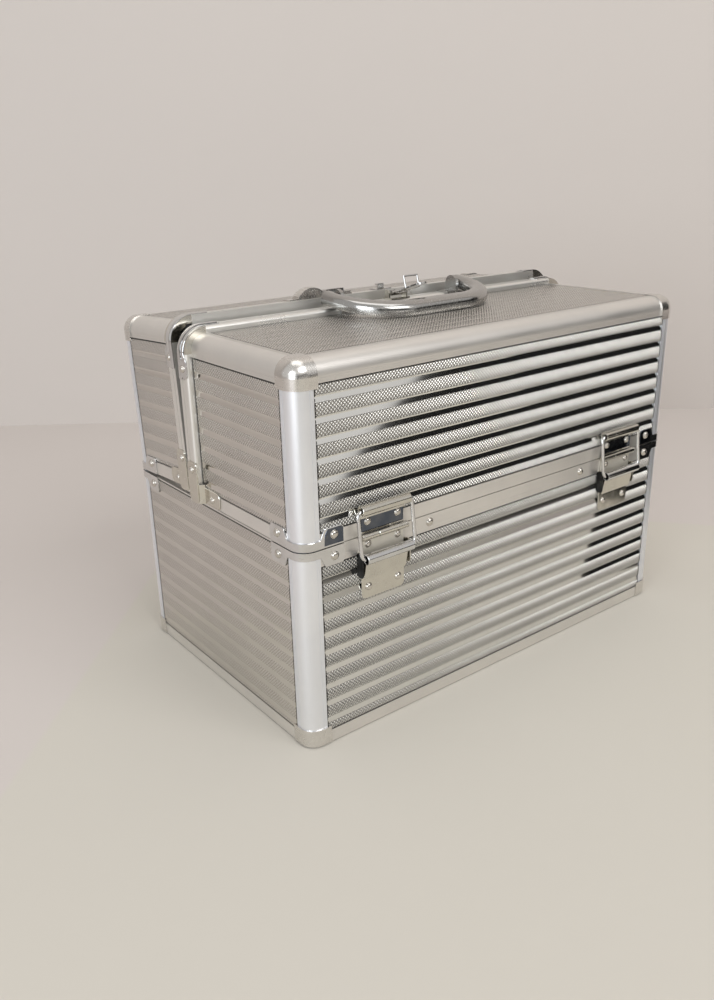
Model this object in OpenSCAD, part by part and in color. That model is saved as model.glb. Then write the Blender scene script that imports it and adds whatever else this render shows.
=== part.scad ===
// Makeup storage case with a split lid, a folding handle and cantilever trays.
// X runs left to right seen from the front, the front looks along -Y, +Z is up.
// The origin is at the middle of the base. Lid halves are drawn in a local frame
// whose y = 0 is the outer face of their long side and whose y grows to the seam.

/* [Case] */
// Width over the corner posts
case_w = 360; // [330:1:400]
// Depth over the corner posts
case_d = 222; // [210:1:240]
// Height of the joint between body and lid
body_h = 140; // [130:1:160]
// Height of the lid from the joint to the top rails
lid_h = 116; // [110:1:130]
// Distance of the seam behind the middle of the case
seam_y = 18; // [10:1:20]
// Thickness of the covered boards
board_t = 4.5; // [3.5:0.1:5]

/* [Aluminium profiles] */
// Width of a corner post or top rail on each face
edge_w = 14.2; // [13:0.1:16]
// Radius of a rounded outer edge
edge_r = 10; // [8:0.5:11]
// Wall of every profile
lip_t = 1.2; // [1:0.1:1.4]
// Height of the bottom rails on the faces
foot_rail_h = 9.6; // [8:0.1:12]
// Height of the body's rim rail on the front and rear
rim_h = 11.5; // [10:0.1:13]
// Height of the lid's rail above the joint
lid_rail_h = 9.6; // [8:0.1:11]
// Width of one seam rail
seam_w = 11; // [9:0.1:12]
// How far the seam rails stand proud
seam_proud = 4.5; // [3.5:0.1:5]
// Height of the locating tongue above the rim
tongue_h = 3.2; // [2:0.1:4]

/* [Chrome fittings] */
// Sheet thickness of the corner fittings
cap_t = 0.8; // [0.6:0.1:1]
// Length of a corner cap along each edge
cap_len = 17; // [16:0.5:20]
// Length of a corner bracket's leg
bracket_len = 32; // [28:1:36]
// Height of a corner bracket
bracket_h = 12.4; // [11:0.1:13]
// Height of a corner bracket where it wraps the post
bracket_band = 6; // [5:0.1:7]
// Radius of a rivet head
rivet_r = 3; // [2.6:0.1:3.2]
// Radius of the rivet heads in latches, hinges and seam brackets
small_rivet_r = 2.7; // [2.3:0.1:2.9]

/* [Hinges and front latches] */
// Distance of each latch and hinge from the middle
latch_x = 118; // [100:1:125]
// Width of a latch base plate
latch_w = 36.5; // [34:0.5:40]
// Thickness of latch and hinge plates
plate_t = 1.2; // [1:0.1:1.4]
// Distance of the lid hinge line from the face
hinge_out = 2.8; // [2.7:0.1:3.2]
// Outer radius of a hinge knuckle
knuckle_r = 2.4; // [2.2:0.1:2.5]
// Radius of a hinge pin
pin_r = 1; // [0.8:0.1:1.2]
// Radius of the latch wire
wire_r = 1.3; // [1:0.1:1.4]
// Height of the keeper roll above the joint
keeper_z = 18; // [17:0.5:20]
// Distance of the lever roll below the joint
lever_z = 13; // [12:0.5:15]
// Length of the lever's flap
flap_len = 16; // [14:0.5:18]
// Height of a hinge leaf below the joint
leaf_h = 17; // [15:0.5:19]
// Height of a rear hinge leaf above the joint
leaf_up = 16; // [15:0.5:18]
// Height of the rivets in the leaves above the joint
leaf_rivet = 9.4; // [9:0.1:10]

/* [Handle] */
// Half the handle's outer width
handle_hw = 69.5; // [64:0.5:72]
// Length from the pivot to the grip's outer edge
handle_len = 53; // [48:1:58]
// Width of the grip band at the front
grip_w = 16; // [14:0.5:18]
// Width of the handle's arms
handle_arm_w = 11; // [10:0.5:12]
// Thickness of the grip band
grip_t = 9; // [8:0.5:10]
// How far the handle tips below level when folded down
handle_tip = 7; // [5:0.5:7]

/* [Trays] */
// Thickness of the tray walls
tray_t = 1.5; // [1.2:0.1:2]
// Height of the upper trays
upper_tray_h = 42; // [30:1:44]
// Height of the lower trays
lower_tray_h = 19; // [15:1:20]
// Radius of the tray pivots
pivot_r = 2; // [1.8:0.1:2.2]

/* [Pose] */
// How far the rear half stands open
rear_ajar = 3.4; // [0:0.1:6]

/* [Hidden] */
$fn = 48;

satin = [0.80, 0.80, 0.79];
sheet = [0.74, 0.74, 0.73];
chrome = [0.70, 0.71, 0.73];
dark_lining = [0.12, 0.12, 0.13];

eps = 0.02;
hw = case_w / 2;
front_d = case_d / 2 + seam_y;
rear_d = case_d / 2 - seam_y;
joint_gap = 0.5;
seam_gap = 0.5;
fit_gap = 0.05;
rim_z = body_h - joint_gap / 2;
lid_z = body_h + joint_gap / 2;
top_z = body_h + lid_h;
seam_top_z = top_z + seam_proud;
board_in = lip_t + board_t;
nose = board_in + 1.3;
cap_proud = cap_t;
base_z = cap_proud;
board_z = base_z + lip_t;
floor_t = 4;
tongue_gap = 0.5;
tongue_t = 1.2;
groove_w = 0.5;
in_w = hw - board_in;
function seam_start(d) = d - seam_gap / 2 - seam_w;

// The case is shifted along Y so that its whole box, fittings included, is centred.
lever_r = 3;
lever_out = plate_t + 2 * wire_r + 3.8;
front_reach = case_d / 2 + lever_out + lever_r;
rear_reach = case_d / 2 + hinge_out + (lid_h - edge_r) * sin(rear_ajar)
  - (hinge_out + edge_r) * cos(rear_ajar) + edge_r + cap_proud;
frame_y = (front_reach - rear_reach) / 2;

// ---------------------------------------------------------------- placing
module both_sides() { children(); mirror([1, 0, 0]) children(); }
module body_place() translate([0, frame_y, 0]) children();
module front_place() translate([0, frame_y - case_d / 2, 0]) children();
module rear_closed() translate([0, frame_y + case_d / 2, 0]) mirror([0, 1, 0]) children();
module rear_place() {
  y = frame_y + case_d / 2 + hinge_out;
  translate([0, y, body_h]) rotate([-rear_ajar, 0, 0]) translate([0, -y, -body_h])
    rear_closed() children();
}

// ---------------------------------------------------------------- sections
// Round-nosed square corner, legs along +x and +y, grown outwards by g.
module corner_2d(len, r, g = 0) {
  intersection() {
    translate([-g, -g]) square(len + g);
    union() {
      translate([r, r]) circle(r = r + g);
      translate([r, -g]) square([len, len + 2 * g]);
      translate([-g, r]) square([len + 2 * g, len]);
    }
  }
}

module slots_2d() {
  translate([board_in, board_in]) square(cap_len * 2);
  translate([nose, lip_t]) square([cap_len * 2, board_t]);
  translate([lip_t, nose]) square([board_t, cap_len * 2]);
}

module edge_2d() {
  difference() {
    corner_2d(edge_w, edge_r);
    slots_2d();
    groove_lines_2d();
    mirror([1, -1]) groove_lines_2d();
  }
}

// Fine decorative lines near the free edge of a leg.
module groove_lines_2d() {
  for (i = [1:2]) translate([edge_w - 1.6 * i, -0.1]) square([groove_w, 0.35]);
}

// Envelope of three meeting rounded edges, grown by g; legs run +x, +y and +z.
module corner_3d(len, r, g = 0) {
  c = r;
  translate([c, c, c]) sphere(r = r + g);
  translate([c, c, c]) cylinder(r = r + g, h = len - c);
  translate([c, c, c]) rotate([0, 90, 0]) cylinder(r = r + g, h = len - c);
  translate([c, c, c]) rotate([-90, 0, 0]) cylinder(r = r + g, h = len - c);
  translate([c, c, -g]) cube([len - c, len - c, len + g]);
  translate([c, -g, c]) cube([len - c, len + g, len - c]);
  translate([-g, c, c]) cube([len + g, len - c, len - c]);
}

module corner_cap_3d() {
  far = cap_len * 2;
  difference() {
    corner_3d(cap_len, edge_r, cap_proud);
    intersection() {
      corner_3d(far, edge_r, fit_gap);
      union() {
        translate([edge_w, -2, -2]) cube(far);
        translate([-2, edge_w, -2]) cube(far);
        translate([-2, -2, edge_w]) cube(far);
      }
    }
    translate([board_in, board_in, board_in]) cube(far);
    translate([nose, nose, lip_t]) cube([far, far, board_t]);
    translate([nose, lip_t, nose]) cube([far, board_t, far]);
    translate([lip_t, nose, nose]) cube([board_t, far, far]);
  }
}

module rivet(r = rivet_r) {
  intersection() {
    translate([0, 0, -r * 0.55]) sphere(r = r * 1.14);
    cylinder(r = r, h = r);
  }
}

module face_rivet(x, y, z, r = rivet_r) translate([x, y, z]) rotate([90, 0, 0]) rivet(r);
module end_rivet(x, y, z, r = rivet_r) translate([x, y, z]) rotate([0, -90, 0]) rivet(r);

// ---------------------------------------------------------------- body
module body_floor_board() {
  color(dark_lining) body_place()
    translate([-in_w, -case_d / 2 + board_in, board_z])
      cube([2 * in_w, case_d - 2 * board_in, floor_t]);
}

module body_long_board() {
  translate([-hw + nose, lip_t, board_z]) cube([case_w - 2 * nose, board_t, rim_z - lip_t - board_z]);
}

module body_end_board() {
  translate([-hw + lip_t, -case_d / 2 + nose, board_z])
    cube([board_t, case_d - 2 * nose, rim_z - lip_t - board_z]);
}

module body_front_board() color(sheet) front_place() body_long_board();
module body_rear_board() color(sheet) rear_closed() body_long_board();
module body_left_board() color(sheet) body_place() body_end_board();
module body_right_board() color(sheet) body_place() mirror([1, 0, 0]) body_end_board();

module body_corner_posts() {
  color(satin) body_place() both_sides() for (m = [0, 1]) mirror([0, m, 0])
    translate([-hw, -case_d / 2, board_z])
      linear_extrude(rim_z - board_z) edge_2d();
}

// One length of bottom rail along +x, outer face on y = 0.
module foot_rail(len) {
  translate([0, 0, base_z]) cube([len, lip_t, foot_rail_h - base_z]);
  translate([0, 0, base_z]) cube([len, edge_w, lip_t]);
}

module body_bottom_rails() {
  color(satin) body_place() {
    for (m = [0, 1]) mirror([0, m, 0])
      translate([-hw + edge_w, -case_d / 2, 0]) foot_rail(case_w - 2 * edge_w);
    for (m = [0, 1]) mirror([m, 0, 0])
      translate([-hw, case_d / 2 - edge_w, 0]) rotate([0, 0, -90]) foot_rail(case_d - 2 * edge_w);
  }
}

module body_bottom_cap() {
  difference() {
    union() {
      translate([0, 0, 1.2]) linear_extrude(foot_rail_h + 2.4) corner_2d(cap_len, edge_r, cap_proud);
      linear_extrude(1.2 + eps) corner_2d(cap_len - 1, edge_r, -0.4);
    }
    translate([0, 0, base_z]) linear_extrude(cap_len * 2) corner_2d(cap_len * 2, edge_r, fit_gap);
  }
}

module body_bottom_caps() {
  color(chrome) body_place() both_sides() for (m = [0, 1]) mirror([0, m, 0])
    translate([-hw, -case_d / 2, 0]) body_bottom_cap();
}

// Rim over a long board, tongue inside; local frame of a long side.
module long_rim() {
  len = case_w - 2 * edge_w;
  difference() {
    translate([-len / 2, 0, rim_z - rim_h]) cube([len, lip_t, rim_h]);
    for (i = [0:1]) translate([-len, -1, rim_z - rim_h + 2.2 + 1.6 * i])
      cube([2 * len, 1.15, groove_w]);
  }
  translate([-len / 2, 0, rim_z - lip_t]) cube([len, board_in + tongue_gap + tongue_t, lip_t]);
  translate([-len / 2, board_in + tongue_gap, rim_z - lip_t])
    cube([len, tongue_t, lip_t + tongue_h]);
}

module end_rim() {
  len = case_d - 2 * edge_w;
  translate([-hw, -len / 2, rim_z - lip_t]) cube([board_in + tongue_gap + tongue_t, len, lip_t]);
  translate([-hw + board_in + tongue_gap, -len / 2, rim_z - lip_t])
    cube([tongue_t, len, lip_t + tongue_h]);
}

module body_rim_rails() {
  color(satin) {
    front_place() long_rim();
    rear_closed() long_rim();
    body_place() both_sides() end_rim();
  }
}

// Bracket round a post: a low band at the joint and a full tab on each face.
module corner_bracket(joint_side) {
  notch = joint_side > 0 ? -1 : bracket_band;
  difference() {
    linear_extrude(bracket_h) difference() {
      corner_2d(bracket_len, edge_r, cap_t);
      corner_2d(bracket_len * 2, edge_r, fit_gap);
    }
    translate([-5, -5, notch]) cube([edge_w + 5, edge_w + 5, bracket_h - bracket_band + 1]);
  }
}

module body_corner_brackets() {
  color(chrome) body_place() both_sides() for (m = [0, 1]) mirror([0, m, 0])
    translate([-hw, -case_d / 2, rim_z - bracket_h]) corner_bracket(1);
}

bracket_rivet = 24.4;
low_rivet_z = body_h - 6.6;
plate_half = 16.5;
rivet_half = 12.2;
base_drop = 43.5;

// Rivets on one long side of the body, outer face at y = 0.
module body_side_rivets() {
  both_sides() {
    face_rivet(-hw + bracket_rivet, -cap_t, low_rivet_z);
    for (s = [-1, 1]) face_rivet(-latch_x + s * rivet_half, -plate_t, body_h - 5.6, small_rivet_r);
  }
}

module body_rivets() {
  color(chrome) {
    front_place() {
      body_side_rivets();
      both_sides() {
        face_rivet(-77, 0, body_h - 5.6);
        for (s = [-1, 1]) face_rivet(-latch_x + s * rivet_half, -plate_t, body_h - 35.6, small_rivet_r);
      }
    }
    rear_closed() body_side_rivets();
    body_place() both_sides() for (s = [-1, 1])
      end_rivet(-hw - cap_t, s * (case_d / 2 - bracket_rivet), low_rivet_z);
  }
}

// ---------------------------------------------------------------- hinges
// Half a knuckle pair along x; side -1 is the lid's, side 1 the body's.
module knuckle(side) {
  len = plate_half - 0.25;
  x0 = side < 0 ? -plate_half : 0.25;
  difference() {
    union() {
      translate([x0, -hinge_out, body_h]) rotate([0, 90, 0]) cylinder(r = knuckle_r, h = len);
      translate([x0, -plate_t, body_h - (side > 0 ? 3.4 : 0)]) cube([len, plate_t - 0.4, 3.4]);
    }
    translate([x0 - 1, -hinge_out, body_h]) rotate([0, 90, 0])
      cylinder(r = pin_r + 0.05, h = len + 2);
  }
}

module hinge_plate(drop) {
  translate([-plate_half, -plate_t, body_h - drop]) cube([2 * plate_half, plate_t, drop - 3]);
  knuckle(1);
}

module lid_plate(rise) {
  translate([-plate_half, -plate_t, body_h + 3]) cube([2 * plate_half, plate_t, rise - 3]);
  knuckle(-1);
}

// Base plate of a draw latch, riveted to the body, widened beside its lever.
module latch_base() {
  wing_half = 20.1;
  wing_h = 17;
  wing_z = body_h - lever_z + 3 - wing_h;
  hinge_plate(leaf_h);
  translate([-latch_w / 2, -plate_t, body_h - base_drop]) cube([latch_w, plate_t, base_drop - leaf_h]);
  translate([-wing_half, -plate_t, wing_z]) cube([2 * wing_half, plate_t, wing_h]);
}

module front_latch_bases() {
  color(chrome) front_place() for (s = [-1, 1]) translate([s * latch_x, 0, 0]) latch_base();
}

module rear_hinge_body_leaves() {
  color(chrome) rear_closed() for (s = [-1, 1]) translate([s * latch_x, 0, 0]) hinge_plate(leaf_h);
}

module hinge_pin_pair() {
  for (s = [-1, 1]) translate([s * latch_x - plate_half, -hinge_out, body_h])
    rotate([0, 90, 0]) cylinder(r = pin_r, h = 2 * plate_half);
}

module hinge_pins() {
  color(chrome) {
    front_place() hinge_pin_pair();
    rear_closed() hinge_pin_pair();
  }
}

// ---------------------------------------------------------------- lid halves
module lid_face_board() {
  translate([-hw + nose, lip_t, lid_z + lip_t])
    cube([case_w - 2 * nose, board_t, top_z - nose - lid_z - lip_t]);
}

module lid_top_board(d) {
  translate([-hw + nose, nose, top_z - board_in])
    cube([case_w - 2 * nose, d - seam_gap / 2 - lip_t - nose, board_t]);
}

module lid_end_boards(d) {
  both_sides() translate([-hw + lip_t, nose, lid_z + lip_t])
    cube([board_t, d - seam_gap / 2 - lip_t - nose, top_z - nose - lid_z - lip_t]);
}

module lid_corner_posts() {
  both_sides() translate([-hw, 0, lid_z])
    linear_extrude(top_z - edge_w - lid_z) edge_2d();
}

module lid_top_rails(d) {
  translate([-hw + edge_w, 0, top_z]) rotate([0, 90, 0])
    linear_extrude(case_w - 2 * edge_w) edge_2d();
  both_sides() translate([-hw, edge_w, top_z]) rotate([-90, 0, 0])
    linear_extrude(seam_start(d) - fit_gap - edge_w) edge_2d();
}

module lid_bottom_rail(len) {
  cube([len, lip_t, lid_rail_h]);
  cube([len, board_in - 0.3, lip_t]);
}

module lid_bottom_rails(d) {
  translate([-hw + edge_w, 0, lid_z]) lid_bottom_rail(case_w - 2 * edge_w);
  both_sides() translate([-hw, seam_start(d) - fit_gap, lid_z]) rotate([0, 0, -90])
    lid_bottom_rail(seam_start(d) - fit_gap - edge_w);
}

// Section across the seam rail: local x runs from the seam outwards along the face,
// local y stands out from the board's face.
module seam_2d() {
  r = 2.5;
  difference() {
    union() {
      translate([0, -lip_t - board_t]) square([lip_t, lip_t + board_t]);
      square([seam_w, seam_proud - r]);
      square([seam_w - r, seam_proud]);
      translate([seam_w - r, seam_proud - r]) circle(r = r);
    }
    translate([3.4, seam_proud - 0.4]) square([1, 1]);
  }
}

seam_corner_r = 12;

module lid_seam_rail(d) {
  y = d - seam_gap / 2;
  arc_in = seam_corner_r;
  translate([-hw + arc_in, y, top_z - lip_t + fit_gap]) rotate([90, 0, 90]) mirror([1, 0, 0])
    linear_extrude(case_w - 2 * arc_in) seam_top_2d();
  both_sides() translate([-hw, y, lid_z])
    linear_extrude(top_z - arc_in - lid_z) rotate([0, 0, 90]) mirror([1, 0, 0]) seam_end_2d();
}

module seam_top_2d() {
  r = 2.5;
  h = seam_proud + lip_t - fit_gap;
  difference() {
    union() {
      translate([0, -board_t - lip_t]) square([lip_t - fit_gap, board_t + lip_t + 0.1]);
      square([seam_w, h - r]);
      square([seam_w - r, h]);
      translate([seam_w - r, h - r]) circle(r = r);
    }
    translate([3.4, h - 0.4]) square([1, 1]);
  }
}

// The same rail standing on an end: flat web against the board, nose outwards.
module seam_end_2d() {
  r = 2.5;
  difference() {
    union() {
      translate([0, -board_in]) square([lip_t - fit_gap, board_in + 0.1]);
      translate([0, -lip_t + fit_gap]) square([seam_w, seam_proud + lip_t - r - fit_gap]);
      translate([0, -lip_t + fit_gap]) square([seam_w - r, seam_proud + lip_t - fit_gap]);
      translate([seam_w - r, seam_proud - r]) circle(r = r);
    }
    translate([3.4, seam_proud - 0.4]) square([1, 1]);
  }
}

// Bent corner piece that joins the top seam rail to its leg.
module lid_seam_corners(d) {
  c = seam_corner_r;
  y = d - seam_gap / 2;
  slot = board_t + 2 * fit_gap;
  both_sides() difference() {
    translate([-hw + c, y, top_z - c]) rotate([90, 0, 0]) rotate([0, 0, 90])
      rotate_extrude(angle = 90)
        translate([c - lip_t + fit_gap, 0]) square([seam_proud + lip_t - fit_gap, seam_w]);
    translate([-hw + nose - fit_gap, nose, top_z - board_in - fit_gap]) cube([case_w, d, slot]);
    translate([-hw + lip_t - fit_gap, nose, lid_z]) cube([slot, d, top_z - nose + fit_gap - lid_z]);
  }
}

module lid_corner_caps() {
  both_sides() translate([-hw, 0, top_z]) mirror([0, 0, 1]) corner_cap_3d();
}

// Upper corner brackets at the joint, and the angle brackets at the seam's foot.
module lid_brackets(d) {
  leg = 30;
  foot = leg - 8;
  both_sides() {
    translate([-hw, 0, lid_z]) corner_bracket(-1);
    translate([-hw - cap_t, seam_start(d) - fit_gap - foot, lid_z]) cube([cap_t - fit_gap, foot, 9]);
    translate([-hw - seam_proud - cap_t, seam_start(d), lid_z])
      cube([cap_t - fit_gap, seam_w - 0.5, leg]);
  }
}

module lid_rivets(d, plate_rivets_z) {
  both_sides() {
    face_rivet(-hw + bracket_rivet, -cap_t, body_h + 7.6);
    end_rivet(-hw - cap_t, bracket_rivet, body_h + 7.6);
    end_rivet(-hw - cap_t, d - seam_w - 13, body_h + 5.5, small_rivet_r);
    end_rivet(-hw - seam_proud - cap_t, d - seam_w / 2 - 0.5, body_h + 24, small_rivet_r);
    end_rivet(-hw - seam_proud, d - seam_w / 2 - 0.5, top_z - 22, small_rivet_r);
    for (s = [-1, 1]) face_rivet(-latch_x + s * rivet_half, -plate_t, plate_rivets_z, small_rivet_r);
  }
}

module front_lid_face_board() color(sheet) front_place() lid_face_board();
module front_lid_top_board() color(sheet) front_place() lid_top_board(front_d);
module front_lid_end_boards() color(sheet) front_place() lid_end_boards(front_d);
module front_lid_corner_posts() color(satin) front_place() lid_corner_posts();
module front_lid_top_rails() color(satin) front_place() lid_top_rails(front_d);
module front_lid_bottom_rails() color(satin) front_place() lid_bottom_rails(front_d);
module front_lid_seam_rail() color(satin) front_place() lid_seam_rail(front_d);
module front_lid_seam_corners() color(chrome) front_place() lid_seam_corners(front_d);
module front_lid_corner_caps() color(chrome) front_place() lid_corner_caps();
module front_lid_brackets() color(chrome) front_place() lid_brackets(front_d);
module front_lid_rivets() color(chrome) front_place() lid_rivets(front_d, body_h + leaf_rivet);

module rear_lid_face_board() color(sheet) rear_place() lid_face_board();
module rear_lid_top_board() color(sheet) rear_place() lid_top_board(rear_d);
module rear_lid_end_boards() color(sheet) rear_place() lid_end_boards(rear_d);
module rear_lid_corner_posts() color(satin) rear_place() lid_corner_posts();
module rear_lid_top_rails() color(satin) rear_place() lid_top_rails(rear_d);
module rear_lid_bottom_rails() color(satin) rear_place() lid_bottom_rails(rear_d);
module rear_lid_seam_rail() color(satin) rear_place() lid_seam_rail(rear_d);
module rear_lid_seam_corners() color(chrome) rear_place() lid_seam_corners(rear_d);
module rear_lid_corner_caps() color(chrome) rear_place() lid_corner_caps();
module rear_lid_brackets() color(chrome) rear_place() lid_brackets(rear_d);
module rear_lid_rivets() color(chrome) rear_place() lid_rivets(rear_d, body_h + leaf_rivet);

module rear_hinge_lid_leaves() {
  color(chrome) rear_place() for (s = [-1, 1]) translate([s * latch_x, 0, 0]) lid_plate(leaf_up);
}

// ---------------------------------------------------------------- front latches
keeper_out = plate_t + 2.6;
roll_r = 3.4;
roll_half = 19;
bail_half = 21.8;

module front_latch_keepers() {
  color(chrome) front_place() for (s = [-1, 1]) translate([s * latch_x, 0, 0]) difference() {
    union() {
      lid_plate(keeper_z);
      translate([-roll_half, -keeper_out, body_h + keeper_z]) rotate([0, 90, 0])
        cylinder(r = roll_r, h = 2 * roll_half);
    }
    translate([-latch_w, -keeper_out, body_h + keeper_z]) rotate([0, 90, 0])
      cylinder(r = wire_r + 0.15, h = 2 * latch_w);
  }
}

module wire_bar(a, b, r = wire_r) {
  v = b - a;
  translate(a) rotate([0, acos(v[2] / norm(v)), atan2(v[1], v[0])]) cylinder(r = r, h = norm(v));
  translate(a) sphere(r = r);
}

module wire_loop(points, r = wire_r) {
  n = len(points);
  for (i = [0:n - 1]) wire_bar(points[i], points[(i + 1) % n], r);
}

module latch_bail(s) {
  out = lever_out - keeper_out;
  drop = keeper_z + lever_z;
  len = norm([out, drop]);
  color(chrome) front_place() translate([s * latch_x, -keeper_out, body_h + keeper_z])
    rotate([-atan2(out, drop), 0, 0]) wire_loop([
      [-bail_half, 0, 0], [bail_half, 0, 0], [bail_half, 0, -len], [-bail_half, 0, -len]
    ]);
}

module latch_lever(s) {
  inset = 0.8;
  slant = asin((lever_out - inset - 2 * plate_t - 1) / flap_len);
  color(chrome) front_place() translate([s * latch_x, -lever_out, body_h - lever_z]) difference() {
    union() {
      translate([-roll_half, 0, 0]) rotate([0, 90, 0]) cylinder(r = lever_r, h = 2 * roll_half);
      rotate([slant, 0, 0]) translate([-plate_half, inset, -flap_len])
        cube([2 * plate_half, plate_t, flap_len]);
    }
    translate([-latch_w, 0, 0]) rotate([0, 90, 0]) cylinder(r = wire_r + 0.15, h = 2 * latch_w);
  }
}

module latch_bail_left() latch_bail(-1);
module latch_bail_right() latch_bail(1);
module latch_lever_left() latch_lever(-1);
module latch_lever_right() latch_lever(1);

// ---------------------------------------------------------------- handle
handle_y = front_d - 7;
handle_z = seam_top_z + 6.5;
foot_t = 3;
foot_in = handle_hw - handle_arm_w - foot_t - 0.5;
foot_w = 12;

module handle_foot() {
  y_rail = seam_start(front_d);
  x = foot_in + foot_t - foot_w;
  translate([x, y_rail - 9.6, top_z - lip_t]) cube([foot_w, 8.2, 1.4]);
  translate([x, y_rail - 1.6, top_z - lip_t]) cube([foot_w, 1.4, seam_proud + lip_t + 1.2]);
  translate([x, y_rail - 1.6, seam_top_z]) cube([foot_w, seam_w + 1.4, 1.2]);
  translate([foot_in, handle_y - 6, seam_top_z]) cube([foot_t, 12, handle_z - seam_top_z]);
  translate([foot_in, handle_y, handle_z]) rotate([0, 90, 0]) cylinder(r = 6, h = foot_t);
  translate([foot_in, handle_y, handle_z]) rotate([0, 90, 0])
    cylinder(r = pivot_r, h = handle_hw - foot_in - 3);
}

module handle_feet() color(chrome) front_place() both_sides() handle_foot();

// D outline of half width w, reaching len from the pivot line, with corner radius r.
module d_2d(w, len, r, back) {
  intersection() {
    union() {
      translate([-w, -len + r]) square([2 * w, len - r + back]);
      translate([-w + r, -len]) square([2 * (w - r), len]);
      for (s = [-1, 1]) translate([s * (w - r), -len + r]) circle(r = r, $fn = 96);
    }
    translate([-w, -len]) square([2 * w, len + back]);
  }
}

module handle() {
  wall = 2.2;
  back = 3.6;
  corner = 44;
  inner = corner - handle_arm_w + 1;
  arm = handle_arm_w;
  color(chrome) front_place() translate([0, handle_y, handle_z]) rotate([handle_tip, 0, 0]) difference() {
    translate([0, 0, -grip_t / 2 + 0.5]) difference() {
      linear_extrude(grip_t) difference() {
        d_2d(handle_hw, handle_len, corner, back);
        d_2d(handle_hw - arm, handle_len - grip_w, inner, back + 1);
      }
      translate([0, 0, -1]) linear_extrude(grip_t - wall + 1) difference() {
        d_2d(handle_hw - wall, handle_len - wall, corner - wall, back - wall);
        d_2d(handle_hw - arm + wall, handle_len - grip_w + wall, inner + wall, back + 1);
      }
    }
    translate([-handle_hw + 2.5, 0, 0]) rotate([0, 90, 0])
      cylinder(r = pivot_r + 0.1, h = 2 * handle_hw - 5);
  }
}

// ---------------------------------------------------------------- centre latch
latch_y = front_d - 4.8;
latch_z = seam_top_z + 4.4;
lever_up = 17;
centre_len = 30;
bail_at = 5;
bail_r = wire_r - 0.5;
ear_x = 7.9;
ear_t = 1.2;
knob_r = 4.5;

// Along-X rod or bore through the centre latch, at distance y along its lever.
module cross_rod(y, r, half) translate([-half, -y, 0]) rotate([0, 90, 0]) cylinder(r = r, h = 2 * half);

module centre_latch_base() {
  color(chrome) front_place() {
    translate([-ear_x - ear_t, latch_y - 5.6, seam_top_z]) cube([2 * (ear_x + ear_t), 9.8, 1.2]);
    for (s = [-1, 1]) translate([s * (ear_x + ear_t / 2) - ear_t / 2, latch_y, 0]) {
      translate([0, 0, latch_z]) rotate([0, 90, 0]) cylinder(r = 2.6, h = ear_t);
      translate([0, -2.6, seam_top_z]) cube([ear_t, 5.2, latch_z - seam_top_z]);
    }
    translate([0, latch_y, latch_z]) cross_rod(0, pin_r, ear_x + 0.2);
  }
}

module centre_latch_lever() {
  color(chrome) front_place() translate([0, latch_y, latch_z]) rotate([-lever_up, 0, 0]) difference() {
    union() {
      cross_rod(0, 2.1, 5.5);
      translate([-5, -centre_len, -0.6]) cube([10, centre_len, 1.3]);
      cross_rod(bail_at, 1.7, 5.5);
      translate([0, -centre_len, -0.6]) cylinder(r = knob_r, h = 1.3);
    }
    cross_rod(0, pin_r + 0.06, 9);
    cross_rod(bail_at, bail_r + 0.1, 9);
  }
}

// Wire bail lying along the lever with its end turned up.
module centre_latch_bail() {
  w = 6.5;
  reach = 15;
  turn_up = 8.5;
  color(chrome) front_place() translate([0, latch_y, latch_z]) rotate([-lever_up, 0, 0])
    translate([0, -bail_at, 0]) {
      wire_bar([-w, 0, 0], [w, 0, 0], bail_r);
      for (s = [-1, 1]) {
        wire_bar([s * w, 0, 0], [s * w, -reach, 0], bail_r);
        wire_bar([s * w, -reach, 0], [s * w, -reach, turn_up], bail_r);
      }
      wire_bar([-w, -reach, turn_up], [w, -reach, turn_up], bail_r);
      translate([w, 0, 0]) sphere(r = bail_r);
      translate([w, -reach, turn_up]) sphere(r = bail_r);
    }
}

module centre_latch_keeper() {
  y = rear_d - 7.5;
  color(chrome) rear_place() {
    translate([-7, y - 3, seam_top_z]) cube([14, 8.5, 1]);
    translate([-3, y, seam_top_z]) cube([6, 1.4, 4.5]);
    translate([-3, y - 2, seam_top_z + 3.4]) cube([6, 3.4, 1.1]);
  }
}

// ---------------------------------------------------------------- seam lock
lock_x = -68;

module seam_lock_housing() {
  y = rear_d - 6;
  color(chrome) rear_place() {
    translate([lock_x - 20, y - 4.6, seam_top_z]) cube([56, 9.2, 1]);
    intersection() {
      translate([lock_x, y, seam_top_z + 1 - 8]) sphere(r = 15.5, $fn = 96);
      translate([lock_x - 12, y - 4.4, seam_top_z + 1]) cube([24, 8.8, 12]);
    }
    for (s = [-1, 1]) translate([lock_x + 13.2, y + s * 3.7 - 0.6, seam_top_z + 1]) cube([22, 1.2, 1.6]);
  }
}

module seam_lock_slider() {
  y = rear_d - 6;
  color(chrome) rear_place() {
    translate([lock_x + 14, y - 2.7, seam_top_z + 1.3]) cube([16, 5.4, 2.4]);
    for (i = [0:6]) translate([lock_x + 14 + i * 2.4, y - 2.7, seam_top_z + 3.6]) cube([1.3, 5.4, 1.4]);
  }
}

// ---------------------------------------------------------------- trays
// Link data of one half: [link y, link z, arm offset y, arm offset z].
front_link = [58, 48, 30, -10];
rear_link = [54, 48, 22, -10];
tray_half = in_w - 6.3;
arm_x = tray_half + 1.5;
arm_t = 2;
arm_w = 8;
upper_z = body_h + 30;
lower_z = body_h + 6;
tray_margin = 11.3;

function turned(v, a) = [v[0] * cos(a) - v[1] * sin(a), v[0] * sin(a) + v[1] * cos(a)];

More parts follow.
